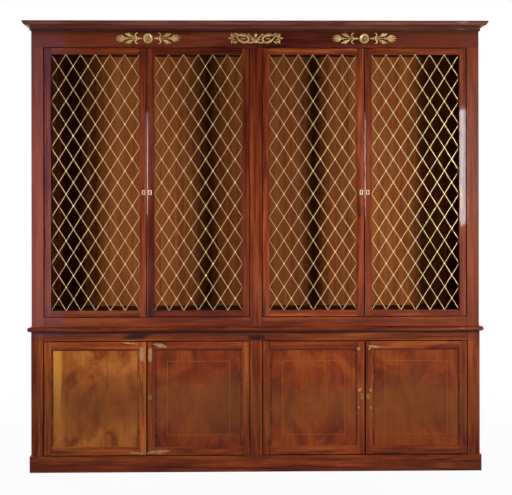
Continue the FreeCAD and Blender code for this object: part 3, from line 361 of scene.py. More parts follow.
# %% [markdown]
# ## The grain of mahogany
# Mahogany shows long streaks along the board, slow bands of redder and browner wood, dark blotches and
# fine pores. A picture of wood would repeat, so four noise textures stretched along the grain give these.
# A board is cut along its length, so the streaks run up a post and across a rail: the helper swaps the
# axes where a member lies level, and turns them again where a moulding turns the corner.

# %% Direction of the grain
GRAIN_STRETCH = 16.0
SEED_STEP = 3.7


def grain_vector(finish, upright, seed, returns=None):
    """Coordinates stretched along the grain: up where upright is 1, level where it is 0.

    Returns are the half width and the front of a moulding: past its mitres the grain runs back.
    """
    x, y, z = finish.split(finish.place)
    along_up = finish.math("DIVIDE", z, GRAIN_STRETCH)
    along_level = finish.math("DIVIDE", x, GRAIN_STRETCH)
    standing = finish.join(x, y, along_up)
    lying = finish.join(z, y, along_level)
    vector = finish.choose(upright, lying, standing)
    if returns is not None:
        half_width, front = returns
        sideways = finish.math("SUBTRACT", finish.math("ABSOLUTE", x), half_width)
        forward = finish.math("SUBTRACT", front, y)
        on_return = finish.math("GREATER_THAN", sideways, forward)
        along_depth = finish.math("DIVIDE", y, GRAIN_STRETCH)
        vector = finish.choose(on_return, vector, finish.join(x, z, along_depth))
    return finish.stretched(vector, (1.0, 1.0, 1.0), (seed * SEED_STEP, seed, seed / SEED_STEP))


def members(finish, spans):
    """One where a member stands upright: the spans are its left and right edges."""
    x = finish.split(finish.place)[0]
    mask = None
    for left, right in spans:
        inside = finish.near(x, (left + right) / 2, (right - left) / 2)
        mask = inside if mask is None else finish.math("MAXIMUM", mask, inside)
    return mask


print("grain runs", GRAIN_STRETCH, "times as long as wide")

# %% Colour of the grain
STREAK_SCALE = 62.0
STREAK_SHARE = 0.55
STREAK_WARP = 0.2
BAND_SCALE = 15.0
BAND_SHARE = 0.45
BAND_WARP = 0.6
TONE_STOPS = (0.37, 0.50, 0.63)
BLOTCH_SCALE = 17.0
BLOTCH_SHORTEN = (1.0, 1.0, 2.6)
BLOTCH_SPAN = (0.56, 0.72)
PORE_SCALE = 420.0
PORE_SHORTEN = (1.0, 1.0, 2.0)
PORE_SPAN = (0.52, 0.70)
PORE_SHADE = 0.3
BLOTCH = paint(48, 12, 9)
GAP_SHADE = paint(20, 5, 5)


def streaked(finish, vector, shades, figure, blotched):
    """Mahogany colour and a height for its pores."""
    streaks = finish.noise(vector, STREAK_SCALE, detail=5.0, rough=0.6, distortion=figure * STREAK_WARP)
    bands = finish.noise(vector, BAND_SCALE, detail=2.0, distortion=figure * BAND_WARP)
    tone = finish.math("ADD", finish.math("MULTIPLY", streaks, STREAK_SHARE),
                       finish.math("MULTIPLY", bands, BAND_SHARE))
    colour = finish.ramp(tone, TONE_STOPS, shades)
    if blotched > 0:
        shortened = finish.stretched(vector, BLOTCH_SHORTEN)
        blotches = finish.noise(shortened, BLOTCH_SCALE, detail=4.0, distortion=figure)
        colour = finish.blend(finish.span(blotches, *BLOTCH_SPAN, 0.0, blotched), colour, BLOTCH)
    pores = finish.noise(finish.stretched(vector, PORE_SHORTEN), PORE_SCALE, detail=2.0, rough=0.7)
    dark_pores = finish.span(pores, *PORE_SPAN, 0.0, PORE_SHADE)
    return finish.blend(dark_pores, colour, GAP_SHADE), pores


print("grain ready")

# %% [markdown]
# ## Wear, fading, painted shade and painted light
# Edges and what lies under a ledge are darkened with painted shade, the ends of the case are lightened with
# painted light, bands of the wood fade to brown, and veneer breaks off. Each could be painted by hand on a
# picture. Here each is a mask worked out from the place on the piece, so it stays sharp close by and can be
# moved by changing one value.

# %% Painted edge shade, shadow under ledges and light at the ends
HAIRLINE = 0.0007
EDGE_SHADE_REACH = 0.0045
# Painted light: the colour that the ends of the upper case are lightened towards.
END_LIGHT_WOOD = paint(174, 86, 48)
END_LIGHT_REACH = (0.3, 1.15)
FADED_BROWN = paint(134, 74, 29)
FADED_LEVEL = 0.36
FADED_REACH = 0.19
FADED_CORE = 0.02
DRIFT_SCALE = 5.0
DRIFT_LENGTHEN = (1.0, 1.0, 0.6)
DRIFT_HEIGHT = 0.35


def joint_lines(finish, colour, lines):
    """Darkens a hairline where one member meets another, at these x places."""
    x = finish.split(finish.place)[0]
    for line in lines:
        colour = finish.blend(finish.near(x, line, HAIRLINE), colour, GAP_SHADE)
    return colour


def shaded_edge_mask(finish, low, high):
    """One along the outer edges of a door or panel: painted shade, as in the shadowed gap around it."""
    x, _, z = finish.split(finish.place)
    inward = finish.math("MINIMUM", finish.math("SUBTRACT", x, low.x), finish.math("SUBTRACT", high.x, x))
    upward = finish.math("MINIMUM", finish.math("SUBTRACT", z, low.z), finish.math("SUBTRACT", high.z, z))
    distance = finish.math("MINIMUM", inward, upward)
    return finish.span(distance, EDGE_SHADE_REACH, EDGE_SHADE_REACH / 4)


def shade_under_ledges(finish, colour, layers):
    """Darkens a level board with painted shadow, as a ledge above it would shade it.

    Each layer runs from a clear height to a dark one and has the share it darkens.
    """
    z = finish.split(finish.place)[2]
    for clear, dark, share in layers:
        colour = finish.blend(finish.span(z, clear, dark, 0.0, share), colour, GAP_SHADE)
    return colour


def lightened_ends(finish, colour, share):
    """Lightens the wood towards both ends of the case with painted light, where the lamps leave it dim."""
    outward = finish.math("ABSOLUTE", finish.split(finish.place)[0])
    return finish.blend(finish.span(outward, *END_LIGHT_REACH, 0.0, share), colour, END_LIGHT_WOOD)


def zoned(finish, colour, share, seed):
    """Fades a drifting level band of the wood to brown, as old sunlight does."""
    z = finish.split(finish.place)[2]
    drift = finish.noise(finish.stretched(finish.place, DRIFT_LENGTHEN, (seed, 0.0, 0.0)), DRIFT_SCALE)
    drift = finish.math("MULTIPLY", finish.math("SUBTRACT", drift, 0.5), DRIFT_HEIGHT)
    height = finish.math("ABSOLUTE", finish.math("SUBTRACT", finish.math("ADD", z, drift), FADED_LEVEL))
    return finish.blend(finish.span(height, FADED_REACH, FADED_CORE, 0.0, share), colour, FADED_BROWN)


print("wear ready")

# %% Chips and burns
BARE_WOOD = paint(196, 152, 108)
OLD_GLUE = paint(156, 106, 62)
LOWER_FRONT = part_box("lower_face_frame")[0].y
CHIP_DEPTH = 0.003
CHIP_BACK = LOWER_FRONT + CHIP_DEPTH
CHIP_EDGE = (1.0, 0.7)
BURN_EDGE = (1.5, 0.0)
CHIP_COVER = 0.9
CHIP_SQUARENESS = 3.0
RAGGED_SCALE = 150.0
RAGGED_REACH = 2.6
MOTTLE_SCALE = 60.0
MOTTLE_SPAN = (0.35, 0.75)


def squared_off(finish, value):
    """The size of a value, raised so that a round mask becomes nearly square."""
    return finish.math("POWER", finish.math("ABSOLUTE", value), CHIP_SQUARENESS)


def chipped(finish, colour, chips, first=BARE_WOOD, second=OLD_GLUE, edge=CHIP_EDGE):
    """Lays bare pale wood where veneer has broken off, or darkens burnt spots.

    Each chip is its middle x and z, its width, its height, and how far its top leans to the right.
    """
    x, y, z = finish.split(finish.place)
    ragged = finish.math("SUBTRACT", finish.noise(finish.place, RAGGED_SCALE, detail=4.0, rough=0.65), 0.5)
    mottle = finish.span(finish.noise(finish.place, MOTTLE_SCALE, detail=2.0), *MOTTLE_SPAN)
    bare = finish.blend(mottle, first, second)
    in_front = finish.math("LESS_THAN", y, CHIP_BACK)
    for middle_x, middle_z, wide, tall, lean in chips:
        up = finish.math("DIVIDE", finish.math("SUBTRACT", z, middle_z), tall / 2)
        across = finish.math("DIVIDE", finish.math("SUBTRACT", x, middle_x), wide / 2)
        across = finish.math("MULTIPLY_ADD", up, -lean, across)
        reach = finish.math("ADD", squared_off(finish, across), squared_off(finish, up))
        reach = finish.math("MULTIPLY_ADD", ragged, RAGGED_REACH, reach)
        share = finish.math("MULTIPLY", finish.span(reach, *edge, 0.0, CHIP_COVER), in_front)
        colour = finish.blend(share, colour, bare)
    return colour


print("chips reach back to", round(CHIP_BACK, 3))

# %% [markdown]
# ## One finish for every polished board
# The polish is a thin clear coat over the grain and its wear. Real edges could be rounded in the mesh, but
# the solids stay as they are, so a rounded-edge normal keeps the arrises from looking razor sharp.

# %% Mahogany finish
RED_SHADES = (paint(74, 19, 12), paint(116, 45, 20), paint(148, 72, 34))
BLOTCHED = 0.7
FRAME_FADE = 0.4
EDGE_ROUND = 0.0014
GLOSS = 0.09
POLISH = 0.16
POLISH_BLUR = 0.05
BOARD_PATCHES = 7.0
BOARD_BLUR = (0.28, 0.42)
PORE_STRENGTH = 0.05


def mahogany(name, seed, spans=None, level=False, shades=RED_SHADES, figure=0.6, returns=None,
             lines=(), edges=None, faded=False, chips=(), burns=(), ledge_shade=(), end_light=0.0):
    """Polished mahogany. The grain stands up, lies level, or follows the members in spans."""
    finish = Finish(name)
    gloss = GLOSS
    polish = POLISH
    if spans is not None:
        upright = members(finish, spans)
    else:
        upright = 0.0 if level else 1.0
    vector = grain_vector(finish, upright, seed, returns)
    colour, pores = streaked(finish, vector, shades, figure, BLOTCHED)
    if faded:
        colour = zoned(finish, colour, FRAME_FADE, seed)
    # Painted light: lighter towards both ends of the case.
    if end_light > 0:
        colour = lightened_ends(finish, colour, end_light)
    # Dark joint lines, then painted shadow under the ledges.
    colour = shade_under_ledges(finish, joint_lines(finish, colour, lines), ledge_shade)
    if edges is not None:
        # Painted shade: the outer edges go dark and lose their polish, like a shadowed gap.
        edge_shade = shaded_edge_mask(finish, *edges)
        colour = finish.blend(edge_shade, colour, GAP_SHADE)
        gloss = finish.span(edge_shade, 0.0, 1.0, GLOSS, 0.0)
        polish = finish.span(edge_shade, 0.0, 1.0, POLISH, 0.0)
    if burns:
        colour = chipped(finish, colour, burns, BLOTCH, GAP_SHADE, BURN_EDGE)
    if chips:
        colour = chipped(finish, colour, chips)
    rounded = finish.node("ShaderNodeBevel", {"Radius": EDGE_ROUND}, samples=4).outputs[0]
    blur = finish.patchy(BOARD_PATCHES, *BOARD_BLUR)
    return finish.surface({
        "Base Color": colour, "Roughness": blur, "Specular IOR Level": gloss,
        "Coat Weight": polish, "Coat Roughness": POLISH_BLUR,
    }, bump=pores, strength=PORE_STRENGTH, depth=0.0003, normal=rounded)


def finish_node(node, material):
    """Puts a finish on a solid, in its own material slots."""
    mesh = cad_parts[node].data
    mesh.materials.clear()
    mesh.materials.append(material)


print("mahogany ready")

# %% [markdown]
# ## The case
# Cornice, frieze, waist and plinth are long level boards. Their ends turn the corner as mitred returns,
# so the grain turns with them. The face frames carry three posts with rails between. Old burns darken
# the top rail of the lower case in two places. Painted shadow darkens the foot of the cornice, the frieze
# under it and the rail under the waist. Painted light makes the cornice lighter and bluer, the upper case
# lighter towards both ends, and the lower case and plinth brighter.

# %% Finish the case
UPPER_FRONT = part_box("frieze")[0].y
HALF_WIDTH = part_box("frieze")[1].x
POST_WIDTH = 0.064
POSTS = ((-HALF_WIDTH, -HALF_WIDTH + POST_WIDTH), (-POST_WIDTH / 2, POST_WIDTH / 2),
         (HALF_WIDTH - POST_WIDTH, HALF_WIDTH))
POST_LINES = (POSTS[0][1], *POSTS[1], POSTS[2][0])
# Painted light: the cornice shades are lighter and bluer than the wood below, as if cool light fell on its
# top.
CORNICE_LIT_SHADES = (paint(78, 32, 28), paint(132, 68, 52), paint(162, 98, 78))
FRIEZE_SHADES = (paint(56, 14, 13), paint(96, 35, 22), paint(128, 62, 37))
WAIST_SHADES = (paint(66, 18, 8), paint(116, 43, 17), paint(152, 74, 32))
# Painted light: the plinth and the lower case are painted brighter than the wood above, since the lamps
# light them less.
PLINTH_LIT_SHADES = (paint(70, 18, 6), paint(130, 49, 13), paint(166, 80, 26))
LOWER_LIT_SHADES = (paint(92, 26, 9), paint(142, 58, 17), paint(176, 90, 34))
# Painted shadow: the foot of the cornice, the top of the frieze under it and the rail under the waist
# darken, as overhangs shade them.
CORNICE_LOWER_SHADE = ((2.384, 2.358, 0.65),)
FRIEZE_SHADE_UNDER_CORNICE = ((2.318, 2.351, 0.55),)
RAIL_SHADE_UNDER_WAIST = ((0.690, 0.705, 0.30), (0.731, 0.742, 0.95))
RAIL_BURNS = ((0.002, 0.714, 0.094, 0.034, 0.0), (-0.640, 0.720, 0.130, 0.032, 0.4))
# Share of painted light at both ends of the frieze and the upper posts.
UPPER_END_LIGHT = 0.3
SIDE_SEEDS = {"left": 23, "right": 24}

finish_node("cornice", mahogany("cornice_mahogany", level=True, seed=2, shades=CORNICE_LIT_SHADES,
                                returns=(HALF_WIDTH, UPPER_FRONT), ledge_shade=CORNICE_LOWER_SHADE))
finish_node("frieze", mahogany("frieze_mahogany", level=True, seed=3, shades=FRIEZE_SHADES, figure=1.2,
                               ledge_shade=FRIEZE_SHADE_UNDER_CORNICE, end_light=UPPER_END_LIGHT))
finish_node("waist_top", mahogany("waist_mahogany", level=True, seed=4, shades=WAIST_SHADES,
                                  returns=(HALF_WIDTH, LOWER_FRONT)))
finish_node("plinth", mahogany("plinth_mahogany", level=True, seed=5, shades=PLINTH_LIT_SHADES, figure=1.4,
                               returns=(HALF_WIDTH, LOWER_FRONT)))
finish_node("upper_face_frame", mahogany("upper_post_mahogany", spans=POSTS, seed=6, lines=POST_LINES,
                                         end_light=UPPER_END_LIGHT))
finish_node("lower_face_frame", mahogany("lower_post_mahogany", spans=POSTS, seed=7, lines=POST_LINES,
                                         shades=LOWER_LIT_SHADES, faded=True, burns=RAIL_BURNS,
                                         ledge_shade=RAIL_SHADE_UNDER_WAIST))
for tier in ("upper", "lower"):
    for hand, seed in SIDE_SEEDS.items():
        side = f"{tier}_{hand}_side"
        finish_node(side, mahogany(f"{side}_mahogany", seed=seed, figure=0.9))
print("case finished, posts at", [round(post[0], 3) for post in POSTS])

# %% [markdown]
# ## The door frames
# Each door is two stiles with rails tenoned between them, so one frame needs both grain directions.
# The lower doors lost flakes of veneer near their meeting edges: pale patches with ragged borders.
# Cutting them into the mesh would change the solid, so they are part of the finish.

# %% Finish the door frames
STILE = {"upper": 0.038, "lower": 0.040}
DOOR_SEED = 10
CHIPS = {
    "lower_door_1": (
        (-0.608, 0.627, 0.026, 0.078, 0.0),
        (-0.668, 0.684, 0.062, 0.012, -0.8),
        (-0.640, 0.101, 0.062, 0.012, -0.6)),
    "lower_door_2": (
        (-0.564, 0.622, 0.021, 0.078, 0.1),
        (-0.510, 0.673, 0.058, 0.024, -0.7),
        (-0.522, 0.107, 0.104, 0.022, 0.6)),
    "lower_door_3": (
        (0.546, 0.651, 0.016, 0.018, 0.0),
        (0.552, 0.433, 0.020, 0.020, 0.3),
        (0.548, 0.339, 0.012, 0.014, 0.0)),
    "lower_door_4": (
        (0.606, 0.655, 0.014, 0.022, 0.4),
        (0.628, 0.664, 0.052, 0.014, -0.8),
        (0.611, 0.431, 0.013, 0.022, 0.4),
        (0.612, 0.339, 0.012, 0.014, 0.0)),
}
# Painted light: some doors get lighter or darker copies of the red shades, which even out how much lamp
# light each door gets.
DOOR_LIT_SHADES = {
    "lower_door_1": (paint(108, 34, 12), paint(164, 72, 25), paint(200, 108, 46)),
    "upper_door_1": (paint(78, 21, 13), paint(122, 49, 22), paint(156, 78, 38)),
    "upper_door_2": (paint(62, 15, 11), paint(100, 36, 17), paint(132, 60, 30)),
    "upper_door_3": (paint(92, 26, 15), paint(146, 62, 30), paint(182, 96, 48)),
    "upper_door_4": (paint(80, 22, 13), paint(126, 51, 23), paint(160, 80, 39)),
}

for tier in ("upper", "lower"):
    for number in (1, 2, 3, 4):
        door = f"{tier}_door_{number}"
        shades = DOOR_LIT_SHADES.get(door, LOWER_LIT_SHADES)
        low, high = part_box(f"{door}_frame")
        inner_left = low.x + STILE[tier]
        inner_right = high.x - STILE[tier]
        # The edges box gives the painted shade along each door's outer edges.
        finish_node(f"{door}_frame", mahogany(
            f"{door}_mahogany", spans=((low.x, inner_left), (inner_right, high.x)), seed=DOOR_SEED + number,
            shades=shades, lines=(inner_left, inner_right), edges=(low, high), faded=tier == "lower",
            chips=CHIPS.get(door, ())))
print("eight door frames finished")

# %% [markdown]
# ## The figured panels
# The lower panels are cut from a crotch of the tree, where the figure clouds and flames instead of
# running straight. Strongly warped noise gives the clouds, and a faint upright streak ties them together.
# The first panel has a lighter band down its left side. Painted shade lies along the sides and the top of
# each panel, where the frame throws its shadow. It is left off at the foot.

# %% The pale band
PALE_BAND = paint(232, 158, 60)
PALE_BAND_PANEL = 1
PALE_BAND_MIDDLE = -1.058
PALE_BAND_REACH = 0.024
PALE_BAND_SOFT = 0.014
PALE_BAND_WANDER = 0.05
PALE_BAND_HEIGHTS = (0.12, 0.62)
PALE_BAND_SHARES = (0.15, 0.85)


def pale_banded(finish, colour, streaks):
    """Lightens an upright band that wanders with the streaks and is strongest at the top."""
    x, _, z = finish.split(finish.place)
    wander = finish.math("MULTIPLY", finish.math("SUBTRACT", streaks, 0.5), PALE_BAND_WANDER)
    offset = finish.math("SUBTRACT", finish.math("ADD", x, wander), PALE_BAND_MIDDLE)
    band = finish.span(finish.math("ABSOLUTE", offset),
                       PALE_BAND_REACH + PALE_BAND_SOFT, PALE_BAND_REACH - PALE_BAND_SOFT)
    fading = finish.span(z, *PALE_BAND_HEIGHTS, *PALE_BAND_SHARES)
    return finish.blend(finish.math("MULTIPLY", band, fading), colour, PALE_BAND)


print("pale band for panel", PALE_BAND_PANEL)

# %% Finish the panels
# Painted light: each panel has its own shades, all painted brighter than the wood above since the lamps
# light the lower case less, the first panel most.
PANEL_LIT_SHADES = {
    1: (paint(130, 58, 18), paint(176, 94, 34), paint(194, 117, 48)),
    2: (paint(94, 32, 10), paint(130, 49, 15), paint(150, 68, 22)),
    3: (paint(98, 33, 10), paint(136, 53, 15), paint(156, 72, 22)),
    4: (paint(96, 33, 10), paint(132, 52, 14), paint(154, 72, 22)),
}
PANEL_LAP = 0.015
PANEL_FADE = 0.6
CLOUD_SCALE = 6.0
CLOUD_LENGTHEN = (1.0, 1.0, 0.7)
CLOUD_STOPS = (0.38, 0.50, 0.62)
UPRIGHT_LENGTHEN = (1.0, 1.0, 0.05)
PANEL_STREAK_SCALE = 70.0
PANEL_STREAK_SPAN = (0.45, 0.75)
PANEL_STREAK_SHARE = 0.5
PANEL_PATCHES = 6.0
PANEL_BLUR = (0.26, 0.40)


def figured_panel(name, number):
    """Polished crotch mahogany, with its own figure and shades for each panel."""
    finish = Finish(name)
    shades = PANEL_LIT_SHADES[number]
    vector = finish.stretched(finish.place, CLOUD_LENGTHEN, (number * SEED_STEP, 0.0, number))
    clouds = finish.noise(vector, CLOUD_SCALE, detail=6.0, rough=0.6, distortion=1.1)
    colour = finish.ramp(clouds, CLOUD_STOPS, shades)
    streak_vector = finish.stretched(finish.place, UPRIGHT_LENGTHEN, (number, 0.0, 0.0))
    streaks = finish.noise(streak_vector, PANEL_STREAK_SCALE, detail=4.0, rough=0.6)
    streak_share = finish.span(streaks, *PANEL_STREAK_SPAN, 0.0, PANEL_STREAK_SHARE)
    colour = finish.blend(streak_share, colour, shades[0])
    colour = zoned(finish, colour, PANEL_FADE, number * SEED_STEP)
    if number == PALE_BAND_PANEL:
        colour = pale_banded(finish, colour, streaks)
    low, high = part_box(f"lower_door_{number}_panel")
    foot_corner = low + Vector((PANEL_LAP, 0.0, 0.0))
    top_corner = high - Vector((PANEL_LAP, 0.0, PANEL_LAP))
    # Painted shade along the sides and top of the panel, where the frame's shadow falls; none at the foot.
    colour = finish.blend(shaded_edge_mask(finish, foot_corner, top_corner), colour, GAP_SHADE)
    pores = finish.noise(finish.stretched(finish.place, UPRIGHT_LENGTHEN), PORE_SCALE, detail=2.0)
    blur = finish.patchy(PANEL_PATCHES, *PANEL_BLUR)
    return finish.surface({
        "Base Color": colour, "Roughness": blur, "Specular IOR Level": GLOSS,
        "Coat Weight": POLISH, "Coat Roughness": POLISH_BLUR,
    }, bump=pores, strength=PORE_STRENGTH, depth=0.0004)


for number in PANEL_LIT_SHADES:
    finish_node(f"lower_door_{number}_panel", figured_panel(f"panel_{number}_mahogany", number))
print("panels finished", len(PANEL_LIT_SHADES))

# %% [markdown]
# ## Inside and behind
# The inside was never polished like the front: it is a stained, dry wood with a dull sheen. The back is
# framed, with panels let in. Its stain is painted lighter, as painted light for the little light that
# reaches it through the lattice. The other inner boards are painted very dark, as painted shade, so the
# shadows between the doors stay deep. The same grain serves, with no coat and no blotches.

# %% Finish the inside
# Painted shade and light: the inner boards are very dark, so the inside reads as shadowed and bounces little
# light; the back is lighter, making up for the light the lattice keeps out.
INNER_SHADOWED_SHADES = (paint(44, 16, 10), paint(64, 28, 16), paint(78, 38, 21))
BACK_LIT_SHADES = (paint(120, 60, 26), paint(136, 73, 33), paint(148, 86, 42))
INNER_UPRIGHT = ("lower_partition", "upper_partition", "shelf_racks", "upper_back_panels",
                 "lower_back_panels", "upper_back_frame", "lower_back_frame")
INNER_LEVEL = ("lower_floor", "lower_shelves", "lower_shelf_bearers", "upper_floor", "upper_ceiling",
               "dust_board")
UPRIGHT_SEED = 20
LEVEL_SEED = 30
STAIN_FIGURE = 0.4
STAIN_GLOSS = 0.06
STAIN_PATCHES = 5.0
STAIN_BLUR = (0.55, 0.72)


def stained(name, level, seed, shades):
    """Dry stained wood, with its pores open."""
    finish = Finish(name)
    vector = grain_vector(finish, 0.0 if level else 1.0, seed)
    colour, pores = streaked(finish, vector, shades, STAIN_FIGURE, blotched=0.0)
    blur = finish.patchy(STAIN_PATCHES, *STAIN_BLUR)
    return finish.surface({
        "Base Color": colour, "Roughness": blur, "Specular IOR Level": STAIN_GLOSS,
    }, bump=pores, strength=0.12, depth=0.0005)


for index, node in enumerate(INNER_UPRIGHT):
    shades = BACK_LIT_SHADES if "back" in node else INNER_SHADOWED_SHADES
    finish_node(node, stained(f"{node}_stain", False, UPRIGHT_SEED + index, shades))
for index, node in enumerate(INNER_LEVEL):
    finish_node(node, stained(f"{node}_stain", True, LEVEL_SEED + index, INNER_SHADOWED_SHADES))
print("inside finished", len(INNER_UPRIGHT) + len(INNER_LEVEL), "pieces")

# %% [markdown]
# ## Brass, gilding and iron
# The lattice is pale brass with brown tarnish in patches. The plates on the upper doors are toned dark,
# and the strips where those doors meet are worn to a dark mirror. On the lower doors the inlaid line, the
# keyhole plates and the pivots are dull. The mounts are fire-gilt bronze with dark toning left in the
# hollows, which an occlusion node finds on the real shape. The locks are plain dark iron. Each could have
# a node graph of its own, but they differ in few values, so one helper makes them all.

# %% Metal finishes
LATTICE_TONES = (paint(222, 182, 116), paint(176, 128, 70))
INLAY_TONES = (paint(162, 98, 46), paint(112, 58, 26))
OLD_BRASS_TONES = (paint(186, 146, 92), paint(122, 84, 46))
STUD_TONES = (paint(246, 218, 160), paint(220, 176, 108))
PLATE_TONES = (paint(104, 64, 38), paint(56, 30, 20))
GILT_TONES = (paint(208, 176, 114), paint(84, 60, 26))
IRON_TONES = (paint(84, 80, 76), paint(46, 40, 36))
WORN_STRIP = paint(118, 80, 72)
STRIP_BLUR = 0.06
TARNISH_SCALE = 60.0
TARNISH_SPAN = (0.48, 0.74)
TARNISH_SHARE = 0.7
HOLLOW_SPAN = (0.75, 0.35)
DISC_SOFT = 0.8
DISC_TONE = 0.5
SCRATCH_SCALE = 900.0
BUFFING_SCALE = 140.0
BUFFED = 0.07
DULLED = 0.09


def metal(name, tones, rough, metallic, hollow_reach=0.0, strip=None, disc=None, shine=0.5):
    """A metal with a bright and a toned colour.

    A strip is a middle and a reach along x: there the metal is worn to a dark mirror.
    A disc is a middle x and z and a radius: inside it the metal is half toned.
    """
    finish = Finish(name)
    bright, toned = tones
    tarnish = finish.noise(finish.place, TARNISH_SCALE, detail=5.0, rough=0.65)
    colour = finish.blend(finish.span(tarnish, *TARNISH_SPAN, 0.0, TARNISH_SHARE), bright, toned)
    if hollow_reach > 0:
        open_sky = finish.node("ShaderNodeAmbientOcclusion", {"Distance": hollow_reach}, samples=8)
        colour = finish.blend(finish.span(open_sky.outputs["AO"], *HOLLOW_SPAN), colour, toned)
    if disc is not None:
        middle_x, middle_z, radius = disc
        x, _, z = finish.split(finish.place)
        flat = finish.join(finish.math("SUBTRACT", x, middle_x), 0.0, finish.math("SUBTRACT", z, middle_z))
        inside = finish.span(finish.length(flat), radius, radius * DISC_SOFT, 0.0, DISC_TONE)
        colour = finish.blend(inside, colour, toned)
    scratches = finish.noise(finish.place, SCRATCH_SCALE, detail=2.0)
    blur = finish.patchy(BUFFING_SCALE, rough - BUFFED, rough + DULLED)
    if strip is not None:
        on_strip = finish.near(finish.split(finish.place)[0], *strip)
        colour = finish.blend(on_strip, colour, WORN_STRIP)
        blur = finish.math("MINIMUM", blur, finish.span(on_strip, 0.0, 1.0, 1.0, STRIP_BLUR))
    return finish.surface({
        "Base Color": colour, "Metallic": metallic, "Roughness": blur, "Specular IOR Level": shine,
    }, bump=scratches, strength=0.08, depth=0.0002)


def gilding(name, disc=None):
    return metal(name, GILT_TONES, rough=0.36, metallic=0.5, hollow_reach=0.008, disc=disc)


print("metals ready")

# %% Finish the metalwork
EDGE_STRIP_WIDTH = 0.004

brass = metal("lattice_brass", LATTICE_TONES, rough=0.38, metallic=0.5)
inlay = metal("inlaid_line", INLAY_TONES, rough=0.45, metallic=0.0, shine=0.05)
old_brass = metal("old_brass", OLD_BRASS_TONES, rough=0.38, metallic=0.5)
stud_brass = metal("stud_brass", STUD_TONES, rough=0.30, metallic=0.4)
gilt = gilding("fire_gilding")
iron = metal("lock_iron", IRON_TONES, rough=0.5, metallic=0.9)

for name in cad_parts:
    if name.endswith("_grille") or name == "pivot_sockets":
        finish_node(name, brass)
    elif name.startswith("lower_door") and name.endswith("_brass"):
        finish_node(name, inlay)
    elif name.endswith("_brass"):
        strip_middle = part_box(name)[0].x + EDGE_STRIP_WIDTH / 2
        finish_node(name, metal(f"{name}_finish", PLATE_TONES, rough=0.26, metallic=0.6,
                                strip=(strip_middle, EDGE_STRIP_WIDTH / 2)))
    elif name.endswith("_lock") or name.endswith("_bolt"):
        finish_node(name, iron)
print("metal finished")

# %% [markdown]
# ## Turned shapes and pieces
# Studs, rosettes and oval rims are round, as if turned on a lathe. A spin operator turns a short profile
# about an upright line. A finished shape becomes a piece that rides the same body as what carries it.

# %% Helpers for pieces
FACE_FRONT = Matrix.Rotation(math.pi / 2, 4, "X")
MERGE_DISTANCE = 1e-6


def spun(shape, profile, sides):
    """Turns a profile of (radius, height) pairs about the upright line through the origin."""
    verts = [shape.verts.new((radius, 0.0, height)) for radius, height in profile]
    edges = [shape.edges.new(pair) for pair in zip(verts, verts[1:])]
    bmesh.ops.spin(shape, geom=verts + edges, cent=(0.0, 0.0, 0.0), axis=(0.0, 0.0, 1.0),
                   angle=2 * math.pi, steps=sides, use_merge=True)
    bmesh.ops.remove_doubles(shape, verts=shape.verts, dist=MERGE_DISTANCE)
    bmesh.ops.recalc_face_normals(shape, faces=shape.faces)


def only_verts(geometry):
    return [part for part in geometry if isinstance(part, bmesh.types.BMVert)]


def everything(shape):
    return list(shape.verts) + list(shape.edges) + list(shape.faces)


def stand_up(shape, across, front, level):
    """Turns a shape that was laid out flat to face the front, and moves it to its place."""
    stand = Matrix.Translation((across, front, level)) @ FACE_FRONT
    bmesh.ops.transform(shape, matrix=stand, verts=shape.verts)


def piece(name, shape, material, body, smooth=True):
    """Turns a finished bmesh into an object that rides a body."""
    mesh = bpy.data.meshes.new(name)
    for face in shape.faces:
        face.smooth = smooth
    shape.to_mesh(mesh)
    shape.free()
    mesh.materials.append(material)
    made = bpy.data.objects.new(name, mesh)
    scene.collection.objects.link(made)
    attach(made, body)
    return made


print("piece helpers ready")

# %% [markdown]
# ## Studs on the lattice
# A small round stud is riveted where two strips of the lattice cross. There are hundreds of them, so one
# stud is spun from a short profile with few sides, then duplicated to every crossing of a door.

# %% Lattice studs
LATTICE_COLUMNS = 6
LATTICE_ROWS = 11
UPPER_RAIL = 0.035
STUD_PROFILE = ((0.0046, -0.0002), (0.0042, 0.0009), (0.0023, 0.0021), (0.0, 0.0025))
STUD_SIDES = 8
CROSSINGS = [(column, row) for column in range(1, 2 * LATTICE_COLUMNS) for row in range(1, 2 * LATTICE_ROWS)
             if (column + row) % 2 == 0]

for number in (1, 2, 3, 4):
    low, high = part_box(f"upper_door_{number}_frame")
    sight_low = Vector((low.x + STILE["upper"], 0.0, low.z + UPPER_RAIL))
    sight_high = Vector((high.x - STILE["upper"], 0.0, high.z - UPPER_RAIL))
    half_wide = (sight_high.x - sight_low.x) / LATTICE_COLUMNS / 2
    half_tall = (sight_high.z - sight_low.z) / LATTICE_ROWS / 2
    lattice_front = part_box(f"upper_door_{number}_grille")[0].y
    studs = bmesh.new()
    spun(studs, STUD_PROFILE, STUD_SIDES)
    bmesh.ops.transform(studs, matrix=FACE_FRONT, verts=studs.verts)
    pattern = everything(studs)
    for column, row in CROSSINGS:
        spot = Vector((sight_low.x + column * half_wide, lattice_front, sight_low.z + row * half_tall))
        copy = bmesh.ops.duplicate(studs, geom=pattern)["geom"]
        bmesh.ops.translate(studs, vec=spot, verts=only_verts(copy))
    bmesh.ops.delete(studs, geom=only_verts(pattern), context="VERTS")
    piece(f"lattice_studs_{number}", studs, stud_brass, f"upper_leaf_{number}")
    print("door", number, "has", len(CROSSINGS), "studs")

# %% [markdown]
# ## Parts of a cast mount
# The frieze carries three gilt castings: flowers with foliage at the sides, a vase with scrolls in the
# middle. A casting could be carved as one surface, but it reads as a bunch of simple forms: beads, leaves
# and stems. Beads and leaves start as a sphere that is squeezed. A stem grows by extruding its end face,
# turning it and making it thinner. Everything is laid out flat and stood against the frieze at the end.

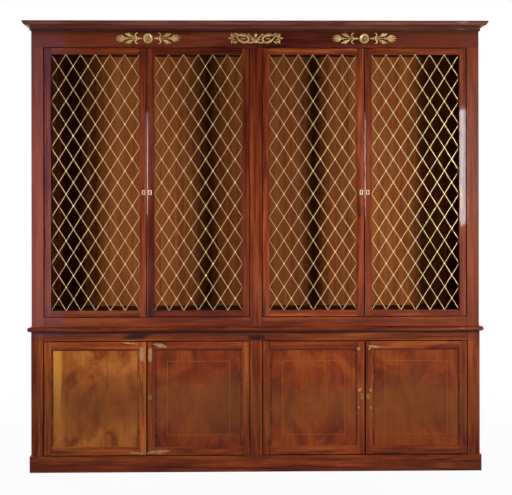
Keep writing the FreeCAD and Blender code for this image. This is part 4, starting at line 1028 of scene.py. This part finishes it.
# %% Beads and leaves
BEAD_SIDES = 8
BEAD_RINGS = 5
LEAF_SIDES = 8
LEAF_RINGS = 8
LEAF_FULLNESS = 1.35
LEAF_POINT = 0.6
LEAF_FOOT = 0.45
LEAF_FALL = 0.45
POLES_ALONG = Matrix.Rotation(math.pi / 2, 4, "Y")


def bead(shape, across, up, radii):
    """A rounded bead with these three radii, half sunk in the ground."""
    squeeze = Matrix.Diagonal((*radii, 1.0))
    bmesh.ops.create_uvsphere(shape, u_segments=BEAD_SIDES, v_segments=BEAD_RINGS, radius=1.0,
                              matrix=Matrix.Translation((across, up, 0.0)) @ squeeze)


def leaf(shape, across, up, angle, length, width, rise):
    """A pointed leaf that starts at a point and runs off at an angle in degrees, with a crest along it."""
    made = bmesh.ops.create_uvsphere(shape, u_segments=LEAF_SIDES, v_segments=LEAF_RINGS, radius=1.0,
                                     matrix=POLES_ALONG)["verts"]
    for vert in made:
        share = (vert.co.x + 1) / 2
        vert.co.y *= LEAF_FULLNESS * (1 - share) ** LEAF_POINT * (LEAF_FOOT + share)
        vert.co.z *= 1.0 - LEAF_FALL * share
    lay = (Matrix.Translation((across, up, 0.0)) @ Matrix.Rotation(math.radians(angle), 4, "Z")
           @ Matrix.Diagonal((length / 2, width / 2, rise, 1.0)) @ Matrix.Translation((1.0, 0.0, 0.0)))
    bmesh.ops.transform(shape, matrix=lay, verts=made)


print("beads and leaves ready")

# %% Stems and halves
STEM_SIDES = 6
STEM_LIFT = 0.0015


def stem(shape, path, thick, thin):
    """A round stem along a path of (across, up) points, from thick to thin."""
    spots = [Vector((across, up, STEM_LIFT)) for across, up in path]
    heading = (spots[1] - spots[0]).normalized()
    facing = heading.to_track_quat("Z", "Y").to_matrix().to_4x4()
    ring = bmesh.ops.create_circle(shape, cap_ends=True, segments=STEM_SIDES, radius=thick,
                                   matrix=Matrix.Translation(spots[0]) @ facing)["verts"]
    end = next(face for face in ring[0].link_faces if len(face.verts) == STEM_SIDES)
    shrink = (thin / thick) ** (1 / (len(spots) - 1))
    for index in range(1, len(spots)):
        onward = spots[min(index + 1, len(spots) - 1)] - spots[index - 1]
        turn = heading.rotation_difference(onward.normalized()).to_matrix()
        end = bmesh.ops.extrude_discrete_faces(shape, faces=[end])["faces"][0]
        moving = list(end.verts)
        bmesh.ops.translate(shape, vec=spots[index] - spots[index - 1], verts=moving)
        about = Matrix.Translation(-spots[index])
        bmesh.ops.rotate(shape, cent=spots[index], matrix=turn, verts=moving)
        bmesh.ops.scale(shape, vec=(shrink, shrink, shrink), space=about, verts=moving)
        heading = onward.normalized()


def both_halves(shape):
    """Adds the mirror image of the right half and turns all faces outwards."""
    bmesh.ops.mirror(shape, geom=everything(shape), matrix=Matrix.Identity(4), merge_dist=0.0, axis="X")
    bmesh.ops.recalc_face_normals(shape, faces=shape.faces)


def middle_of(node):
    """The middle of a solid, across and up."""
    low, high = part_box(node)
    return (low.x + high.x) / 2, (low.z + high.z) / 2


def set_on_frieze(name, shape, material, node):
    """Stands a casting against the frieze, where it takes the place of a plain solid."""
    across, level = middle_of(node)
    stand_up(shape, across, UPPER_FRONT, level)
    mount = piece(name, shape, material, "carcass")
    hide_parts(node)
    print(name, len(mount.data.polygons), "faces")


print("stems ready")

# %% [markdown]
# ## The rosette
# A rosette with a beaded rim sits in the middle of each side mount, over the meeting doors. Its disc is
# turned, and a loop sets its beads and petals evenly around it, so their number is easy to change.

# %% Rosette
ROSETTE_PROFILE = ((0.0265, 0.0), (0.0262, 0.0026), (0.0235, 0.0042), (0.0195, 0.0040), (0.0165, 0.0022),
                   (0.0110, 0.0016), (0.0060, 0.0032), (0.0, 0.0036))
ROSETTE_SIDES = 32
ROSETTE_BEADS = 22
BEAD_CIRCLE = 0.0228
ROSETTE_BEAD = (0.0026, 0.0026, 0.0058)
ROSETTE_PETALS = 8
PETAL_CIRCLE = 0.003
ROSETTE_PETAL = (0.0125, 0.0085, 0.0052)
ROSETTE_BUTTON = (0.0042, 0.0042, 0.0068)


def around(count, radius):
    """Evenly spaced spots on a circle: across, up and the angle in degrees."""
    angles = [360 * index / count for index in range(count)]
    return [(radius * math.cos(math.radians(angle)), radius * math.sin(math.radians(angle)), angle)
            for angle in angles]


def rosette(shape):
    """A turned disc with a beaded rim, petals and a button."""
    spun(shape, ROSETTE_PROFILE, ROSETTE_SIDES)
    for across, up, _ in around(ROSETTE_BEADS, BEAD_CIRCLE):
        bead(shape, across, up, ROSETTE_BEAD)
    for across, up, angle in around(ROSETTE_PETALS, PETAL_CIRCLE):
        leaf(shape, across, up, angle, *ROSETTE_PETAL)
    bead(shape, 0.0, 0.0, ROSETTE_BUTTON)


print("rosette has", ROSETTE_BEADS, "beads and", ROSETTE_PETALS, "petals")

# %% [markdown]
# ## The side mounts
# From the rosette a ribbed cornet with two curled horns runs out to each side, with thin stems and a spiky
# flower behind. One half is made and mirrored, then the rosette is added in the middle. Real castings of a
# pair come from one mould, so both are the same.

# %% Side mounts
ROSETTE_DISC = 0.0185
CORNET_RIBS = ((0.0365, 0.0062), (0.0445, 0.0074), (0.0525, 0.0088), (0.0605, 0.0102))
RIB_WIDE = 0.0050
RIB_RISE = 0.0046
HORN = ((0.058, 0.006), (0.065, 0.010), (0.0685, 0.016), (0.067, 0.022), (0.0625, 0.0265), (0.0570, 0.0275))
HORN_TIP = (0.0032, 0.0030, 0.0036)
SIDE_STEM = ((0.066, 0.002), (0.080, 0.007), (0.095, 0.0145), (0.108, 0.0235))
SIDE_LEAF_RISE = 0.0030
SIDE_LEAVES = (
    (0.076, 0.004, 38, 0.042, 0.013), (0.090, 0.008, 30, 0.036, 0.013),
    (0.098, 0.016, 20, 0.028, 0.012), (0.092, 0.012, 62, 0.020, 0.011))
FLOWER_STEM = ((0.066, 0.0), (0.096, 0.0), (0.128, 0.0))
FLOWER_CUP = 0.1255
FLOWER_CUP_RADII = (0.0036, 0.0100, 0.0042)
PETAL_RISE = 0.0036
FLOWER_PETALS = (
    (0.128, 0.0, 0, 0.047, 0.010), (0.127, 0.001, 15, 0.045, 0.009), (0.126, 0.002, 31, 0.036, 0.009),
    (0.125, 0.002, 50, 0.026, 0.008), (0.146, 0.003, 30, 0.022, 0.006), (0.138, 0.002, 44, 0.020, 0.006),
    (0.104, 0.001, 12, 0.022, 0.007))


def side_mount(name, node):
    """Cornets, horns and flowers to both sides of a rosette."""
    shape = bmesh.new()
    for across, half_tall in CORNET_RIBS:
        bead(shape, across, 0.0, (RIB_WIDE, half_tall, RIB_RISE))
    stem(shape, FLOWER_STEM, thick=0.0022, thin=0.0016)
    bead(shape, FLOWER_CUP, 0.0, FLOWER_CUP_RADII)
    for way in (1, -1):
        stem(shape, [(across, way * up) for across, up in HORN], thick=0.0054, thin=0.0030)
        bead(shape, HORN[-1][0], way * HORN[-1][1], HORN_TIP)
        stem(shape, [(across, way * up) for across, up in SIDE_STEM], thick=0.0015, thin=0.0009)
        for across, up, angle, length, width in SIDE_LEAVES:
            leaf(shape, across, way * up, way * angle, length, width, SIDE_LEAF_RISE)
        for across, up, angle, length, width in FLOWER_PETALS:
            if way > 0 or angle > 0:
                leaf(shape, across, way * up, way * angle, length, width, PETAL_RISE)
    both_halves(shape)
    rosette(shape)
    toned_gilt = gilding(f"{name}_gilding", disc=(*middle_of(node), ROSETTE_DISC))
    set_on_frieze(name, shape, toned_gilt, node)


for side in ("left", "right"):
    side_mount(f"{side}_flower_mount", f"{side}_frieze_mount")

# %% [markdown]
# ## The centre mount
# A vase with two spread arms stands between a pair of scrolling leaves. Each side has a feathered leaf at
# the top, a round body below it and a tail that curls round on itself. It is made as one half and mirrored.

# %% Centre mount
VASE_ARM = ((0.002, -0.010), (0.012, -0.002), (0.025, 0.009), (0.036, 0.020))
ARM_TIP = (0.0056, 0.0060, 0.0046)
VASE_BEADS = (
    (0.0185, (0.0090, 0.0110, 0.0046)), (0.0045, (0.0050, 0.0052, 0.0042)),
    (-0.0150, (0.0085, 0.0130, 0.0046)))
BASE_LEAVES = (
    (0.002, -0.016, -18, 0.034, 0.013), (0.004, -0.012, 20, 0.024, 0.010),
    (0.020, -0.024, 2, 0.026, 0.009))
WING_LEAVES = (
    (0.038, 0.004, 40, 0.030, 0.017), (0.044, 0.010, 22, 0.042, 0.019),
    (0.048, 0.013, 8, 0.046, 0.018), (0.052, -0.002, 0, 0.030, 0.008))
TAIL_LEAVES = (
    (0.086, 0.012, 34, 0.034, 0.009), (0.110, 0.022, -20, 0.020, 0.009), (0.126, 0.004, 82, 0.026, 0.011),
    (0.126, -0.002, -84, 0.028, 0.011), (0.127, 0.001, 0, 0.020, 0.012), (0.096, -0.014, -40, 0.024, 0.011),
    (0.110, -0.016, -24, 0.018, 0.009))
TAIL = ((0.066, -0.022), (0.080, -0.018), (0.091, -0.006), (0.099, 0.006), (0.109, 0.0125), (0.119, 0.009),
        (0.122, -0.001), (0.116, -0.009), (0.109, -0.006))
SCROLL_LEAF_RISE = 0.0036
BODY_MIDDLE = (0.059, -0.004)
BODY_RADIUS = 0.0215
BODY_SWEEP = (135, 350)
BODY_STEPS = 14
BODY_SQUASH = 0.84
BODY_DROP = 0.001


def scroll_body():
    """Points along a squashed arc, the round body of a scroll."""
    path = []
    for step in range(BODY_STEPS + 1):
        angle = math.radians(BODY_SWEEP[0] + step / BODY_STEPS * (BODY_SWEEP[1] - BODY_SWEEP[0]))
        across = BODY_MIDDLE[0] + BODY_RADIUS * math.cos(angle)
        up = BODY_MIDDLE[1] + BODY_RADIUS * math.sin(angle)
        path.append((across, up * BODY_SQUASH - BODY_DROP))
    return path


def centre_mount(name, node):
    """A vase between two leafy scrolls."""
    shape = bmesh.new()
    stem(shape, VASE_ARM, thick=0.0042, thin=0.0030)
    bead(shape, *VASE_ARM[-1], ARM_TIP)
    for across, up, angle, length, width in BASE_LEAVES + WING_LEAVES + TAIL_LEAVES:
        leaf(shape, across, up, angle, length, width, SCROLL_LEAF_RISE)
    stem(shape, scroll_body(), thick=0.0058, thin=0.0066)
    stem(shape, TAIL, thick=0.0056, thin=0.0030)
    both_halves(shape)
    for up, radii in VASE_BEADS:
        bead(shape, 0.0, up, radii)
    set_on_frieze(name, shape, gilt, node)


centre_mount("vase_mount", "centre_frieze_mount")

# %% [markdown]
# ## Keyhole rims
# The keyholes are lined with a raised brass rim: square on the upper doors, oval on the lower ones.
# An oval rim is a spun ring that is stretched upright. A square one is a plate that is inset, opened,
# raised and bevelled.

# %% Shape of a square rim
RIM_WIDE = 0.017
RIM_TALL = 0.025
RIM_BAND = 0.0040
RIM_RISE = 0.0012
RIM_ROUND = 0.0006
SHARP_ANGLE = 0.5


def square_rim(shape):
    """A flat frame with a raised, softened top."""
    plate = bmesh.ops.create_grid(shape, x_segments=1, y_segments=1, size=0.5)["verts"]
    bmesh.ops.scale(shape, vec=(RIM_WIDE, RIM_TALL, 1.0), verts=plate)
    middle = list(shape.faces)
    bmesh.ops.inset_region(shape, faces=middle, thickness=RIM_BAND, use_boundary=True, use_even_offset=True)
    bmesh.ops.delete(shape, geom=middle, context="FACES")
    raised = bmesh.ops.extrude_face_region(shape, geom=list(shape.faces))["geom"]
    top = only_verts(raised)
    bmesh.ops.translate(shape, vec=(0.0, 0.0, RIM_RISE), verts=top)
    bmesh.ops.recalc_face_normals(shape, faces=shape.faces)
    crest = [edge for edge in shape.edges if edge.is_manifold and all(vert in top for vert in edge.verts)
             and edge.calc_face_angle() > SHARP_ANGLE]
    bmesh.ops.bevel(shape, geom=crest, offset=RIM_ROUND, offset_type="OFFSET", segments=2, profile=0.5,
                    affect="EDGES", material=-1)


print("square rim", RIM_WIDE, "by", RIM_TALL, "m")

# %% Keyhole rims
KEY_INSET = 0.016
KEY_LEVELS = {"upper": 1.487, "lower": 0.398}
KEYHOLES = (("upper", 1), ("upper", 2), ("upper", 3), ("upper", 4), ("lower", 2), ("lower", 3), ("lower", 4))
UPPER_PLATE = 0.0016
OVAL_PROFILE = ((0.0085, 0.0), (0.0083, 0.0012), (0.0074, 0.0016), (0.0064, 0.0011), (0.0062, 0.0),
                (0.0085, 0.0))
OVAL_SIDES = 24

for tier, number in KEYHOLES:
    low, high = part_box(f"{tier}_door_{number}_frame")
    across = high.x - KEY_INSET if number % 2 == 1 else low.x + KEY_INSET
    rim = bmesh.new()
    if tier == "upper":
        square_rim(rim)
        rim_metal = stud_brass
        plate_front = UPPER_FRONT - UPPER_PLATE
    else:
        spun(rim, OVAL_PROFILE, OVAL_SIDES)
        bmesh.ops.scale(rim, vec=(1.0, RIM_TALL / RIM_WIDE, 1.0), verts=rim.verts)
        rim_metal = old_brass
        plate_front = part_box(f"{tier}_door_{number}_brass")[0].y
    stand_up(rim, across, plate_front, KEY_LEVELS[tier])
    piece(f"{tier}_keyhole_rim_{number}", rim, rim_metal, f"{tier}_leaf_{number}",
          smooth=tier == "lower")
print("keyhole rims", len(KEYHOLES))

# %% [markdown]
# ## The end
# All pieces are built and finished.

# %% Finish
print("bookcase built")
